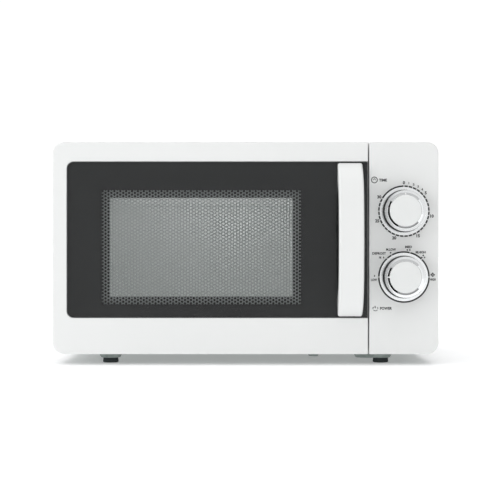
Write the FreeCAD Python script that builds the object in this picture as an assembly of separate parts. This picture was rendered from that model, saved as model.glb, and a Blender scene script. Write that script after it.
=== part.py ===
"""Counter-top microwave oven, 20 litres, with two dials, as an assembly of its separate pieces.

Millimetres. +X to the right as one faces the door, +Y towards the wall behind, +Z up. The origin is
on the surface that the feet stand on, under the centre of the whole oven, handle included.
Each function returns one piece, or one group of like pieces, in its place.
"""

import FreeCAD, Part

import math
import os

Vector = FreeCAD.Vector
X = Vector(1, 0, 0)
Y = Vector(0, 1, 0)
Z = Vector(0, 0, 1)

# ---- driving sizes: the whole oven ----
face_width = 452.0  # door and control panel together
face_height = 248.5
foot_drop = 13.5  # from the face's lower edge to the surface
body_depth = 335.0  # door front to the rearmost fitting
rear_fitting = 2.5  # screw heads and grommet behind the cabinet
handle_reach = 30.0  # handle in front of the door
face_corner = 13.5  # rounded corners of the face
panel_width = 81.1  # control panel
door_panel_gap = 1.4
door_depth = 30.5
door_gap = 0.5  # door's back to the front plate
cabinet_step = 1.5  # the face stands proud of the cabinet all round

# ---- driving sizes: sheet and walls ----
cabinet_sheet = 0.6
frame_sheet = 0.8
cavity_sheet = 0.6
plastic_wall = 2.5
fit = 0.2  # clearance between fixed pieces that slide together
screw_play = 0.1  # round a screw's shank
small_head = 3.4  # radius of the smaller screw heads
running = 0.05  # radial, of a shaft in its bore
near = 0.3  # between pieces that pass or rest on each other

# ---- driving sizes: cavity and turntable ----
cavity_left_inset = 16.5  # face's left edge to the cavity's left wall
cavity_right_inset = 38.0  # cavity's right wall to the door's right edge
cavity_floor_rise = 26.5  # face's lower edge to the cavity floor
cavity_ceiling_drop = 24.0
cavity_rear_gap = 4.5
back_boss = 2.0  # pressed stiffening of the rear wall
cavity_corner = 5.0
well_depth = 2.0  # round recess that the rollers run in
tray_wall_gap = 26.0
tray_glass = 5.0
tray_rim = 14.0
tray_lug_radius = 4.5
roller_radius = 7.5
roller_width = 5.0
ring_inset = 33.0  # roller centres inside the tray's edge
ring_wire = 3.0
motor_radius = 25.0
motor_height = 15.0
drive_shaft_radius = 3.5
coupler_radius = 14.0  # to the tips of its lobes
coupler_hub = 6.5
lobe_half = 3.0

# ---- driving sizes: door ----
screen_left = 16.4
screen_top = 22.6
screen_bottom = 42.2
screen_thick = 3.0
screen_sink = 0.6  # screen's front behind the frame's front
screen_corner = 8.5
mesh_left = 57.4  # perforated field, from the face's edges
mesh_right = 78.5  # from the door's right edge
mesh_top = 56.2
mesh_bottom = 58.2
tape_width = 9.0
hinge_inset = 8.0
hinge_setback = 12.0
hinge_pin_radius = 2.5
hinge_arm = 2.0
hinge_pin_length = 6.4
handle_width = 29.0
handle_thick = 8.0
handle_end = 2.1  # handle ends inside the screen's upper and lower edges
handle_foot = 22.0
handle_right = 6.6  # handle's right side to the door's right edge
hook_thick = 6.0
hook_lift = 4.0
hook_reach = 26.0  # hook's tip behind the front plate
switch_size = (10.3, 16.0, 27.0)  # across, deep and tall
switch_set_back = 3.0  # switches behind the hooks' tips
switch_tab = 7.0

# ---- driving sizes: component bay ----
bay_gap = 1.5  # between neighbours along the bay
core_half_x = 45.0
core_half_y = 24.0
coil_overhang = 17.0
hook_from_right = 12.0  # hook's centre to the door's right edge

# ---- driving sizes: dials ----
knob_radius = 25.0
knob_draft = 1.0  # how much narrower the rim is than the back
knob_height = 19.5
knob_step = 3.0  # the middle stands this far above the rim
knob_rim = 3.2  # width of the rim's flat ring
knob_slope = 2.5  # width of the slope between the ring and the cap
knob_seat = 2.0  # depth of the cap's seat
knob_mark = 0.7  # half width of the pointer notch
dial_shaft_radius = 3.0
dial_spacing = 77.1  # centre to centre
dial_rise = 4.7  # the pair's middle above the face's middle
knob_lift = 1.0  # knob's back clear of the panel

# ---- worked out: the frame ----
total_depth = body_depth + handle_reach
face_left = -face_width / 2
face_right = face_width / 2
face_bottom = foot_drop
face_top = foot_drop + face_height
door_front = handle_reach - total_depth / 2
rear = total_depth / 2 - rear_fitting
door_back = door_front + door_depth
plate_front = door_back + door_gap
plate_back = plate_front + frame_sheet
door_right = face_right - panel_width - door_panel_gap
panel_left = face_right - panel_width

cab_left = face_left + cabinet_step
cab_right = face_right - cabinet_step
cab_top = face_top - cabinet_step
in_left = cab_left + cabinet_sheet
in_right = cab_right - cabinet_sheet
in_top = cab_top - cabinet_sheet
base_low = face_bottom + 2.5
base_top = base_low + frame_sheet

cav_left = face_left + cavity_left_inset
cav_right = door_right - cavity_right_inset
cav_floor = face_bottom + cavity_floor_rise
cav_top = face_top - cavity_ceiling_drop
cav_back = rear - cavity_rear_gap
cav_mid = (cav_left + cav_right) / 2
cav_width = cav_right - cav_left
cav_depth = cav_back - plate_front
cav_centre_y = plate_front + cav_depth / 2
wall_out = cav_right + cavity_sheet  # outer face of the cavity's right wall

dial_x = (panel_left + face_right) / 2
knob_cap_radius = knob_radius - knob_draft - knob_rim - knob_slope
dial_mid = (face_bottom + face_top) / 2 + dial_rise
timer_z = dial_mid + dial_spacing / 2
power_z = dial_mid - dial_spacing / 2
hook_x = door_right - hook_from_right
hinge_x = face_left + hinge_inset
hinge_y = plate_front - hinge_setback
hook_tip_y = plate_back + hook_reach
switch_front = hook_tip_y + switch_set_back
latch_back = switch_front + switch_size[1] + switch_tab


# ---- helpers ----
def block(x, y, z):
    """Box over three (low, high) ranges."""
    return Part.makeBox(x[1] - x[0], y[1] - y[0], z[1] - z[0], Vector(x[0], y[0], z[0]))


def rod(radius, start, end):
    """Cylinder from one point to another."""
    start = Vector(*start)
    along = Vector(*end) - start
    return Part.makeCylinder(radius, along.Length, start, along)


def tube(outer, inner, start, end):
    """Round tube from one point to another."""
    return rod(outer, start, end).cut(rod(inner, start, end))


def grown(span, by):
    """A (low, high) range made longer at both ends."""
    return (span[0] - by, span[1] + by)


def about(centre, half):
    """The (low, high) range of that half width about a centre."""
    return (centre - half, centre + half)


def rounded(shape, radius, direction, keep=lambda edge: True):
    """Rounds the straight edges that run along a direction."""
    edges = []
    for edge in shape.Edges:
        if not isinstance(edge.Curve, Part.Line):
            continue
        run = edge.Vertexes[-1].Point - edge.Vertexes[0].Point
        if run.Length > 1e-6 and abs(run.normalize().dot(direction)) > 0.999 and keep(edge):
            edges.append(edge)
    return shape.makeFillet(radius, edges)


def united(shapes):
    """One solid from touching or crossing shapes."""
    return shapes[0].multiFuse(shapes[1:]).removeSplitter() if len(shapes) > 1 else shapes[0]


def group(shapes):
    """Separate solids that share a node."""
    return Part.makeCompound(shapes)


def drilled(shape, holes):
    """Shape with holes taken out."""
    return shape.cut(Part.makeCompound(holes)) if holes else shape


def turned(points, centre, axis=Z):
    """Solid of revolution about an axis through centre; points are (radius, height along the axis)."""
    side = X if abs(axis.dot(X)) < 0.9 else Y
    centre = Vector(*centre)
    wire = [centre + side * r + axis * h for r, h in points]
    face = Part.Face(Part.makePolygon(wire + [wire[0]]))
    return face.revolve(centre, axis, 360)


def slot(centre, half_length, radius, depth, along, through):
    """Stadium-shaped cutter, its length along one direction and cutting through another."""
    centre = Vector(*centre)
    ends = [centre - along * half_length, centre + along * half_length]
    side = through.cross(along) * radius
    wire = Part.Wire(
        [
            Part.LineSegment(ends[0] + side, ends[1] + side).toShape(),
            Part.Arc(ends[1] + side, ends[1] + along * radius, ends[1] - side).toShape(),
            Part.LineSegment(ends[1] - side, ends[0] - side).toShape(),
            Part.Arc(ends[0] - side, ends[0] - along * radius, ends[0] + side).toShape(),
        ]
    )
    face = Part.Face(wire)
    face.translate(through * (-depth / 2))
    return face.extrude(through * depth)


def screw(point, direction, length, radius=1.9, head_radius=3.8, head=2.2):
    """Pan-head screw: the head sits on point, the shank goes into direction."""
    point = Vector(*point)
    top = point - direction * head
    shape = rod(head_radius, top, point).fuse(rod(radius, point, point + direction * length))
    across = direction.cross(Z if abs(direction.z) < 0.9 else X)
    other = direction.cross(across)
    arm, half, deep = head_radius * 0.6, 0.5, 1.2
    cross = []
    for a, b in ((across, other), (other, across)):
        corners = [top + a * i * arm + b * j * half for i, j in ((-1, -1), (1, -1), (1, 1), (-1, 1))]
        cross.append(Part.Face(Part.makePolygon(corners + [corners[0]])).extrude(direction * deep))
    return drilled(shape, cross)


def screw_hole(point, direction, length, radius=1.9):
    """Clearance hole for a screw of that shank radius, centred on point."""
    point = Vector(*point)
    return rod(radius + screw_play, point - direction * length / 2, point + direction * length / 2)


# ---- cabinet ----
rear_lip = 12.0
cab_corner = 12.0
side_screw_rise = 8.0
side_screw_head = 1.3
rear_screw_z = [base_top + 30, (base_top + in_top) / 2, in_top - 30]
rear_screw_x = [in_left + rear_lip / 2, in_right - rear_lip / 2]
side_screw_y = [plate_front + 60, rear - 50]
base_flange = 14.0
front_flange = 10.0
rear_y = (rear - cabinet_sheet - fit - frame_sheet, rear - cabinet_sheet - fit)  # rear panel


def arch(x, y, top, bottom, radius):
    """Upside-down U prism: a block with its two upper long edges rounded."""
    shape = block(x, y, (bottom, top))
    return rounded(shape, radius, Y, lambda e: e.CenterOfMass.z > top - 1)


def vent_slots(x, y_from, y_count, y_pitch, z_from, z_count, z_pitch, half):
    """Rows of upright slots through a side wall."""
    cutters = []
    for i in range(y_count):
        for k in range(z_count):
            centre = (x, y_from + i * y_pitch, z_from + k * z_pitch)
            cutters.append(slot(centre, half, 1.6, 8, Z, X))
    return cutters


def outer_cabinet():
    low = base_low
    front = plate_front
    shell = arch((cab_left, cab_right), (front, rear), cab_top, low, cab_corner)
    inner = arch(
        (in_left, in_right),
        (front - 5, rear - cabinet_sheet),
        in_top,
        low - 5,
        cab_corner - cabinet_sheet,
    )
    window = block(
        (in_left + rear_lip, in_right - rear_lip), (rear - 5, rear + 5), (low - 5, in_top - rear_lip)
    )
    holes = []
    for x in rear_screw_x:
        holes += [screw_hole((x, rear, z), Y, 8) for z in rear_screw_z]
    holes.append(screw_hole((0, rear, in_top - rear_lip / 2), Y, 8))
    for x in (cab_left, cab_right):
        holes += [screw_hole((x, y, base_top + side_screw_rise), X, 8) for y in side_screw_y]
    vents = vent_slots(cab_right, rear - 120, 12, 8.0, cab_top - 120, 3, 26.0, 8.0)
    vents += vent_slots(cab_left, rear - 120, 12, 8.0, cab_top - 68, 2, 26.0, 8.0)
    vents += vent_slots(cab_right, plate_front + 36, 8, 8.0, base_low + 44, 2, 26.0, 8.0)
    return drilled(shell.cut(inner).cut(window), holes + vents)


foot_x = 163.0
foot_front_y = plate_front + 24.0
foot_rear_y = rear - 36.0
foot_radius = 9.5
foot_height = 6.0
dimple_floor = foot_height
dimple_wide = 17.5
dimple_narrow = 11.5
foot_stem_radius = 3.0
foot_places = [
    (-foot_x, foot_front_y),
    (foot_x, foot_front_y),
    (-foot_x, foot_rear_y),
    (foot_x, foot_rear_y),
]
stiffener = (82.0, foot_front_y)  # small pressed dimple with no foot
stiffener_wide = 11.0
stiffener_narrow = 5.5
long_dimple = (foot_x, foot_front_y)  # the front right dimple runs on to the left
long_dimple_reach = 18.5
transformer_x = (wall_out + in_right) / 2
transformer_y = latch_back + bay_gap + core_half_y + coil_overhang
transformer_bolt_x = 36.0
transformer_bolt_y = 31.0
capacitor_y = transformer_y + 72.0


def dish(points, x, reach, y):
    """Body whose section from the middle outwards is points, stretched to the left by reach."""
    ends = [turned(points, (x, y, 0)), turned(points, (x - reach, y, 0))]
    if not reach:
        return ends[0]
    wire = [Vector(x - reach, y + r, z) for r, z in points] + [
        Vector(x - reach, y - r, z) for r, z in points[::-1]
    ]
    wire = [p for n, p in enumerate(wire) if (p - wire[n - 1]).Length > 1e-6]
    return united(ends + [Part.Face(Part.makePolygon(wire + [wire[0]])).extrude(X * reach)])


def dimple(x, y, wide, narrow, floor, reach=0.0):
    """Dish pressed down from the base plate, and its hollow to take out."""
    t = frame_sheet
    outer = [(0, floor), (narrow, floor), (wide, base_low), (wide, base_top), (0, base_top)]
    hollow = [
        (0, floor + t), (narrow - 0.4 * t, floor + t), (wide - 0.9 * t, base_top + 1), (0, base_top + 1)
    ]
    return dish(outer, x, reach, y), dish(hollow, x, reach, y)


def base_plate():
    x = (in_left + fit, in_right - fit)
    y = (plate_front, rear_y[0])
    plate = block(x, y, (base_low, base_top))
    side_y, flange_z = (plate_back + front_flange + fit, y[1]), (base_low, base_low + base_flange)
    flanges = [
        block((x[0], x[0] + frame_sheet), side_y, flange_z),
        block((x[1] - frame_sheet, x[1]), side_y, flange_z),
        block(x, (y[1] - frame_sheet, y[1]), flange_z),
    ]
    solids, hollows = [plate] + flanges, []
    dimples = [
        dimple(
            px,
            py,
            dimple_wide,
            dimple_narrow,
            dimple_floor,
            long_dimple_reach if (px, py) == long_dimple else 0.0,
        )
        for px, py in foot_places
    ]
    dimples.append(dimple(*stiffener, stiffener_wide, stiffener_narrow, dimple_floor + 1.5))
    for outer, hollow in dimples:
        solids.append(outer)
        hollows.append(hollow)
    shape = united(solids)
    shape = drilled(shape, hollows)
    holes = [rod(foot_stem_radius + screw_play, (px, py, 0), (px, py, 20)) for px, py in foot_places]
    for i in range(8):
        for j in range(5):
            centre = (cav_right - 14 - 12 * j, cav_centre_y + 44 + 9 * i, base_low)
            holes.append(slot(centre, 3.2, 1.6, 8, X, Z))
    for sx in (-1, 1):
        for sy in (-1, 1):
            at = (
                transformer_x + sx * transformer_bolt_x, transformer_y + sy * transformer_bolt_y, base_low
            )
            holes.append(screw_hole(at, Z, 12, 2.4))
    holes.append(screw_hole((transformer_x + clamp_screw_x, capacitor_y, base_low), Z, 12))
    for wall in (x[0], x[1]):
        holes += [screw_hole((wall, py, base_top + side_screw_rise), X, 8) for py in side_screw_y]
    return drilled(shape, holes)


def feet():
    solids = []
    for x, y in foot_places:
        pad = turned(
            [
                (0, 0),
                (foot_radius - 1, 0),
                (foot_radius, 1),
                (foot_radius - 0.6, foot_height),
                (foot_stem_radius, foot_height),
                (foot_stem_radius, foot_height + frame_sheet),
                (foot_stem_radius + 1, foot_height + frame_sheet),
                (foot_stem_radius - 0.5, foot_height + frame_sheet + 3),
                (0, foot_height + frame_sheet + 3),
            ],
            (x, y, 0),
        )
        solids.append(pad)
    return group(solids)


cord_x = in_right - 34.0
cord_z = base_top + 34.0
cord_hole_radius = 8.0
fan_x = (wall_out + in_right - rear_lip) / 2
fan_z = base_top + 92.0
fan_ring_radius = 50.0


def rear_panel():
    x = (in_left + fit, in_right - fit)
    panel = arch(x, rear_y, in_top - fit, base_low, cab_corner - cabinet_sheet - fit)
    holes = []
    for sx in rear_screw_x:
        holes += [screw_hole((sx, rear, z), Y, 12) for z in rear_screw_z]
    holes.append(screw_hole((0, rear, in_top - rear_lip / 2), Y, 12))
    holes.append(rod(cord_hole_radius, (cord_x, rear - 10, cord_z), (cord_x, rear + 10, cord_z)))
    for row in range(-5, 6):
        reach = math.sqrt(fan_ring_radius**2 - (row * 8.0) ** 2) - 4
        for side in (-1, 1):
            centre = (fan_x + side * (reach / 2 + 1), rear_y[0], fan_z + row * 8.0)
            holes.append(slot(centre, reach / 2 - 4, 1.8, 8, X, Y))
    for i in range(12):
        for k in range(2):
            holes.append(
                slot((cav_left + 24 + i * 9.0, rear_y[0], in_top - 46 + k * 22), 6.5, 1.8, 8, Z, Y)
            )
    for at in fan_screw_places:
        holes.append(screw_hole((at[0], rear_y[0], at[1]), Y, 8))
    return drilled(panel, holes)


def cord_bush():
    """Snap-in grommet in the rear panel for the mains lead."""
    r = cord_hole_radius
    y0, y1 = rear_y
    profile = [
        (4.2, -5),
        (r - 1.5, -5),
        (r + 0.9, -0.5 - fit),
        (r + 0.9, 0),
        (r - screw_play, 0),
        (r - screw_play, y1 - y0),
        (r + 3, y1 - y0),
        (r + 2.2, y1 - y0 + 2.5),
        (4.2, y1 - y0 + 2.5),
    ]
    return turned(profile, (cord_x, y0, cord_z), Y)


def cabinet_screws():
    solids = []
    places = [(x, z) for x in rear_screw_x for z in rear_screw_z] + [(0, in_top - rear_lip / 2)]
    for x, z in places:
        solids.append(screw((x, rear, z), -Y, 6))
    for y in side_screw_y:
        z = base_top + side_screw_rise
        solids.append(screw((cab_left, y, z), X, 6, head=side_screw_head))
        solids.append(screw((cab_right, y, z), -X, 6, head=side_screw_head))
    return group(solids)


# ---- front plate and cavity ----
bay_window_x = (panel_left + 6, in_right - 16)
bay_window_z = (cav_floor + 4, cav_top - 4)
hook_arm_height = 15.0
upper_hook_z = face_top - 70.5
lower_hook_z = face_bottom + 58.0
hook_side_play = 1.5
hook_swing = 2.2  # the hooks swing this much to the right as they leave their slots
upper_arm_low = face_top - 12.4
lower_arm_low = face_bottom + 10.5
arm_half = 4.5
panel_screws = [
    (panel_left + 12, face_top - 14),
    (panel_left + 12, face_bottom + 14),
    (face_right - 14, face_bottom + 14),
]
hinge_screw_drop = 22.0
hinge_flange = 34.0
hinge_screw_x = cav_left - cavity_sheet - 2 * near - small_head


def hook_slot_range():
    half = hook_thick / 2 + hook_side_play
    return (hook_x - half, hook_x + half + hook_swing)


def hook_z_range(low):
    return (low - 1.5, low + hook_arm_height + hook_lift + 1.5)


def front_plate():
    x = (in_left + fit, in_right - fit)
    z = (base_top, in_top - fit)
    tray = block(x, (plate_front, plate_back + front_flange), z)
    tray = rounded(tray, cab_corner - cabinet_sheet - fit, Y, lambda e: e.CenterOfMass.z > z[1] - 1)
    inner = block(
        grown(x, -frame_sheet), (plate_back, plate_back + front_flange + 1), grown(z, -frame_sheet)
    )
    inner = rounded(
        inner,
        cab_corner - cabinet_sheet - fit - frame_sheet,
        Y,
        lambda e: e.CenterOfMass.z > z[1] - 3,
    )
    mouth = block((cav_left, cav_right), (plate_front - 5, plate_front + 5), (cav_floor, cav_top))
    mouth = rounded(mouth, cavity_corner, Y)
    bay = block(bay_window_x, (plate_front - 5, plate_front + 5), bay_window_z)
    bay = rounded(bay, 6, Y)
    cuts = [inner, mouth, bay]
    for low in (upper_hook_z, lower_hook_z):
        cuts.append(block(hook_slot_range(), (plate_front - 5, plate_front + 5), hook_z_range(low)))
    for low in (upper_arm_low, lower_arm_low):
        cuts.append(
            block(
                about(hinge_x, arm_half + fit),
                (plate_front - 5, plate_front + 5),
                grown((low, low + hinge_arm), fit),
            )
        )
    for px, pz in panel_screws:
        cuts.append(screw_hole((px, plate_front, pz), Y, 8))
    for pz in hinge_screw_heights():
        cuts.append(screw_hole((hinge_screw_x, plate_front, pz), Y, 8))
    for pz in latch_screw_heights:
        cuts.append(screw_hole((latch_screw_x, plate_front, pz), Y, 8))
    return drilled(tray, cuts)


def hinge_screw_heights():
    return [upper_arm_low - hinge_screw_drop, lower_arm_low + hinge_arm + hinge_screw_drop]


def hinge_bracket(arm_low, up):
    """Pin, forward arm and the flange behind the front plate. The pin points away from the oven's middle."""
    thick = 1.5
    arm = block(about(hinge_x, arm_half), (hinge_y, plate_back + thick), (arm_low, arm_low + hinge_arm))
    nose = rod(arm_half, (hinge_x, hinge_y, arm_low), (hinge_x, hinge_y, arm_low + hinge_arm))
    z = (arm_low + hinge_arm - hinge_flange, arm_low + hinge_arm) if up else (
        arm_low, arm_low + hinge_flange
    )
    flange = block(
        (hinge_x - arm_half, cav_left - cavity_sheet - near), (plate_back, plate_back + thick), z
    )
    pin_from = arm_low + hinge_arm if up else arm_low
    pin_to = pin_from + hinge_pin_length if up else pin_from - hinge_pin_length
    pin = rod(hinge_pin_radius, (hinge_x, hinge_y, pin_from), (hinge_x, hinge_y, pin_to))
    shape = united([arm, nose, flange, pin])
    hole_z = hinge_screw_heights()[0 if up else 1]
    return drilled(shape, [screw_hole((hinge_screw_x, plate_back, hole_z), Y, 10)])


def door_hinges():
    return group([hinge_bracket(upper_arm_low, True), hinge_bracket(lower_arm_low, False)])


def cavity_wrapper():
    """Left wall, ceiling and right wall, folded from one sheet."""
    t = cavity_sheet
    y = (plate_back, cav_back)
    outer = arch(grown((cav_left, cav_right), t), y, cav_top + t, cav_floor, cavity_corner + t)
    inner = arch((cav_left, cav_right), grown(y, 5), cav_top, cav_floor - 5, cavity_corner)
    holes = []
    aperture_y, aperture_z = about(guide_y, 30), about(guide_z, 18)
    holes.append(block((cav_right - 2, cav_right + 5), aperture_y, aperture_z))
    for i in range(8):
        for k in range(6):
            lamp_at = (cav_right, lamp_y - 17.5 + 5 * i, lamp_z - 12.5 + 5 * k)
            holes.append(
                rod(1.4, (lamp_at[0] - 3, lamp_at[1], lamp_at[2]), (lamp_at[0] + 3, lamp_at[1], lamp_at[2]))
            )
    for i in range(10):
        for k in range(4):
            y0, z0 = cav_back - 70 + 5 * i, cav_top - 34 + 5 * k
            holes.append(rod(1.4, (cav_left - 3, y0, z0), (cav_left + 3, y0, z0)))
    for i in range(7):
        for k in range(5):
            y1, z1 = duct_y + 5 * i - 15, duct_z + 5 * k - 10
            holes.append(rod(1.4, (cav_right - 3, y1, z1), (cav_right + 3, y1, z1)))
    return drilled(outer.cut(inner), holes)


tray_radius = min(cav_width, cav_depth) / 2 - tray_wall_gap
ring_radius = tray_radius - ring_inset
well_radius = ring_radius + 14.0
well_floor = cav_floor - well_depth
motor_screw_reach = 33.0


def cavity_floor():
    t = cavity_sheet
    sheet = block(grown((cav_left, cav_right), t), (plate_back, cav_back), (cav_floor - t, cav_floor))
    dish = turned(
        [
            (0, well_floor - t),
            (well_radius - 3, well_floor - t),
            (well_radius + 1.5, cav_floor - t),
            (well_radius + 1.5, cav_floor),
            (0, cav_floor),
        ],
        (cav_mid, cav_centre_y, 0),
    )
    hollow = turned(
        [(0, well_floor), (well_radius - 3, well_floor), (well_radius, cav_floor + 1), (0, cav_floor + 1)],
        (cav_mid, cav_centre_y, 0),
    )
    shape = united([sheet, dish]).cut(hollow)
    holes = [rod(drive_shaft_radius + 1.5, (cav_mid, cav_centre_y, 0), (cav_mid, cav_centre_y, 60))]
    for side in (-1, 1):
        at = (cav_mid + side * motor_screw_reach, cav_centre_y, well_floor)
        holes.append(screw_hole(at, Z, 12, 1.5))
    return drilled(shape, holes)


def cavity_back():
    t = cavity_sheet
    plate = block(grown((cav_left, cav_right), t), (cav_back, cav_back + t), (cav_floor - t, cav_top + t))
    plate = rounded(plate, cavity_corner + t, Y, lambda e: e.CenterOfMass.z > cav_top)
    boss = block(
        grown((cav_left, cav_right), -40),
        (cav_back + t, cav_back + t + back_boss),
        (cav_floor + 40, cav_top - 40),
    )
    boss = rounded(boss, 20, Y)
    hollow = block(
        grown((cav_left, cav_right), -40 - t),
        (cav_back - 1, cav_back + back_boss),
        (cav_floor + 40 + t, cav_top - 40 - t),
    )
    hollow = rounded(hollow, 20 - t, Y)
    return united([plate, boss]).cut(hollow)


# ---- turntable ----
tray_low = well_floor + near + 2 * roller_radius + near
coupler_low = well_floor + 3.0
lug_reach = coupler_hub + 1.0 + tray_lug_radius  # lugs stand between the coupler's lobes
roller_angles = (90.0, 210.0, 330.0)
roller_z = well_floor + near + roller_radius


def glass_tray():
    r, t = tray_radius, tray_glass
    z = tray_low
    profile = [
        (0, z),
        (r - 16, z),
        (r - 5, z + 2),
        (r, z + tray_rim - 2),
        (r - 1, z + tray_rim),
        (r - 3, z + tray_rim),
        (r - 4.5, z + tray_rim - 2),
        (r - 9, z + t + 1.5),
        (r - 16, z + t),
        (0, z + t),
    ]
    plate = turned(profile, (cav_mid, cav_centre_y, 0))
    lugs = []
    for angle in (30, 150, 270):
        a = math.radians(angle)
        cx, cy = cav_mid + lug_reach * math.cos(a), cav_centre_y + lug_reach * math.sin(a)
        lugs.append(rod(tray_lug_radius, (cx, cy, z - 4.5), (cx, cy, z + 1)))
    return united([plate] + lugs)


def turntable_coupler():
    """Three-lobed hub on the motor's shaft; the lobes push the tray's lugs."""
    c = (cav_mid, cav_centre_y, 0)
    hub = rod(coupler_hub, (c[0], c[1], coupler_low), (c[0], c[1], tray_low - near))
    parts = [hub]
    for angle in (90, 210, 330):
        a = math.radians(angle)
        reach = coupler_radius - lobe_half
        end = Vector(c[0] + reach * math.cos(a), c[1] + reach * math.sin(a), coupler_low)
        parts.append(rod(lobe_half, end, end + Z * (tray_low - near - coupler_low)))
        arm = block((0, reach), (-lobe_half, lobe_half), (coupler_low, tray_low - near))
        arm.rotate(Vector(0, 0, 0), Z, angle)
        arm.translate(Vector(c[0], c[1], 0))
        parts.append(arm)
    shaft_low = motor_low + 3
    parts.append(rod(drive_shaft_radius, (c[0], c[1], shaft_low), (c[0], c[1], coupler_low + 1)))
    return united(parts)


motor_top = well_floor - cavity_sheet
motor_low = motor_top - motor_height


def turntable_motor():
    c = (cav_mid, cav_centre_y)
    can = rod(motor_radius, (*c, motor_low), (*c, motor_top - near))
    neck = rod(8, (*c, motor_top - near - 1), (*c, motor_top))
    ears = block(about(c[0], motor_screw_reach + 6), about(c[1], 6), (motor_top - 1.2, motor_top))
    plug = block(
        about(c[0], 8), (c[1] + motor_radius - 2, c[1] + motor_radius + 9), (motor_low + 2, motor_low + 11)
    )
    shape = united([can, neck, ears, plug])
    holes = [rod(drive_shaft_radius + running, (*c, motor_low + 3 - near), (*c, motor_top + 1))]
    for side in (-1, 1):
        holes.append(screw_hole((c[0] + side * motor_screw_reach, c[1], motor_top), Z, 6, 1.5))
    return drilled(shape, holes)


def roller_ring():
    """Hub-less ring with three stub axles pointing outwards."""
    centre = Vector(cav_mid, cav_centre_y, roller_z)
    r = ring_radius - roller_width / 2 - 6
    band = tube(r + ring_wire / 2, r - ring_wire / 2, centre - Z * 4, centre + Z * 4)
    parts = [band]
    for angle in roller_angles:
        a = math.radians(angle)
        out = Vector(math.cos(a), math.sin(a), 0)
        inner = centre + out * r
        outer = centre + out * (ring_radius + roller_width / 2 + 1.5)
        parts.append(rod(2.0, inner, outer))
        parts.append(rod(4.0, inner, centre + out * (ring_radius - roller_width / 2 - near)))
        parts.append(rod(3.0, centre + out * (ring_radius + roller_width / 2 + near), outer))
    return united(parts)


def roller(angle):
    a = math.radians(angle)
    out = Vector(math.cos(a), math.sin(a), 0)
    mid = Vector(cav_mid, cav_centre_y, roller_z) + out * ring_radius
    ends = (mid - out * roller_width / 2, mid + out * roller_width / 2)
    wheel = tube(roller_radius, 2.0 + running, *ends)
    dips = []
    for k in range(6):
        b = 2 * math.pi * k / 6
        side = Vector(-out.y, out.x, 0) * math.cos(b) + Z * math.sin(b)
        dips.append(rod(1.0, ends[1] - out * 1.0 + side * 4.7, ends[1] + out + side * 4.7))
    return drilled(wheel, dips)


# ---- waveguide, magnetron and lamp ----
duct_half = 20.0
guide_z = cav_top - 62.0
guide_half_y = 36.0
guide_half_z = 28.0
guide_depth = 26.0
guide_lip = 7.0
yoke_depth = 42.0
yoke_half_y = 40.0
yoke_half_z = 34.0
yoke_sheet = 1.5
antenna_radius = 8.0
filter_depth = 22.0
lamp_half = 25.0
lamp_z = cav_top - 40.0
duct_z = guide_z + yoke_half_z / 2
duct_y = latch_back + bay_gap + duct_half
guide_y = duct_y + duct_half + bay_gap + guide_lip + guide_half_y
lamp_y = guide_y + guide_half_y + guide_lip + bay_gap + lamp_half
guide_out = wall_out + guide_depth
yoke_x = (guide_out, guide_out + yoke_depth)


def waveguide_cover():
    """Mica sheet over the aperture, inside the cavity."""
    plate = block((cav_right - 1.0, cav_right), about(guide_y, 36), about(guide_z, 24))
    return rounded(plate, 5, X)


def waveguide():
    box = block((wall_out, guide_out), about(guide_y, guide_half_y), about(guide_z, guide_half_z))
    hollow = block(
        (wall_out - 1, guide_out - 1.0),
        about(guide_y, guide_half_y - 1.0),
        about(guide_z, guide_half_z - 1.0),
    )
    flange = block(
        (wall_out, wall_out + 1),
        about(guide_y, guide_half_y + guide_lip),
        about(guide_z, guide_half_z + guide_lip),
    )
    mouth = block(
        (wall_out - 1, wall_out + 2), about(guide_y, guide_half_y - 1), about(guide_z, guide_half_z - 1)
    )
    port = rod(antenna_radius + 3, (guide_out - 3, guide_y, guide_z), (guide_out + 3, guide_y, guide_z))
    return united([box, flange]).cut(hollow).cut(mouth).cut(port)


def magnetron_yoke():
    """Steel box round the fins, open front and back to the cooling air."""
    box = block(yoke_x, about(guide_y, yoke_half_y), about(guide_z, yoke_half_z))
    t = yoke_sheet
    air = block(
        (yoke_x[0] + t, yoke_x[1] - t), about(guide_y, yoke_half_y + 1), about(guide_z, yoke_half_z - t)
    )
    ports = [
        rod(antenna_radius + 3, (yoke_x[0] - 1, guide_y, guide_z), (yoke_x[0] + t + 1, guide_y, guide_z)),
        rod(10, (yoke_x[1] - t - 1, guide_y, guide_z), (yoke_x[1] + 1, guide_y, guide_z)),
    ]
    return drilled(box.cut(air), ports)


anode_radius = 19.0
magnet_thick = 7.0


def magnetron_core():
    """Anode with its antenna, and a ring magnet at each end."""
    t = yoke_sheet
    x0, x1 = yoke_x[0] + t, yoke_x[1] - t
    at = (guide_y, guide_z)
    anode = rod(anode_radius, (x0 + magnet_thick, *at), (x1 - magnet_thick, *at))
    neck = rod(antenna_radius, (guide_out - 18, *at), (x0 + magnet_thick, *at))
    stem = rod(9.0, (x1 - magnet_thick, *at), (yoke_x[1] + 6, *at))
    core = united([anode, neck, stem])
    front = tube(25, antenna_radius + fit, (x0, *at), (x0 + magnet_thick, *at))
    back = tube(25, 9.0 + fit, (x1 - magnet_thick, *at), (x1, *at))
    return group([core, front, back])


def magnetron_fins():
    t = yoke_sheet
    x0 = yoke_x[0] + t + magnet_thick
    x1 = yoke_x[1] - t - magnet_thick
    count = 6
    pitch = (x1 - x0) / count
    fins = []
    for i in range(count):
        x = x0 + pitch * (i + 0.5)
        fin = block((x - 0.3, x + 0.3), about(guide_y, yoke_half_y - 3), about(guide_z, yoke_half_z - t))
        fins.append(
            fin.cut(rod(anode_radius + running, (x - 2, guide_y, guide_z), (x + 2, guide_y, guide_z)))
        )
    return group(fins)


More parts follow.
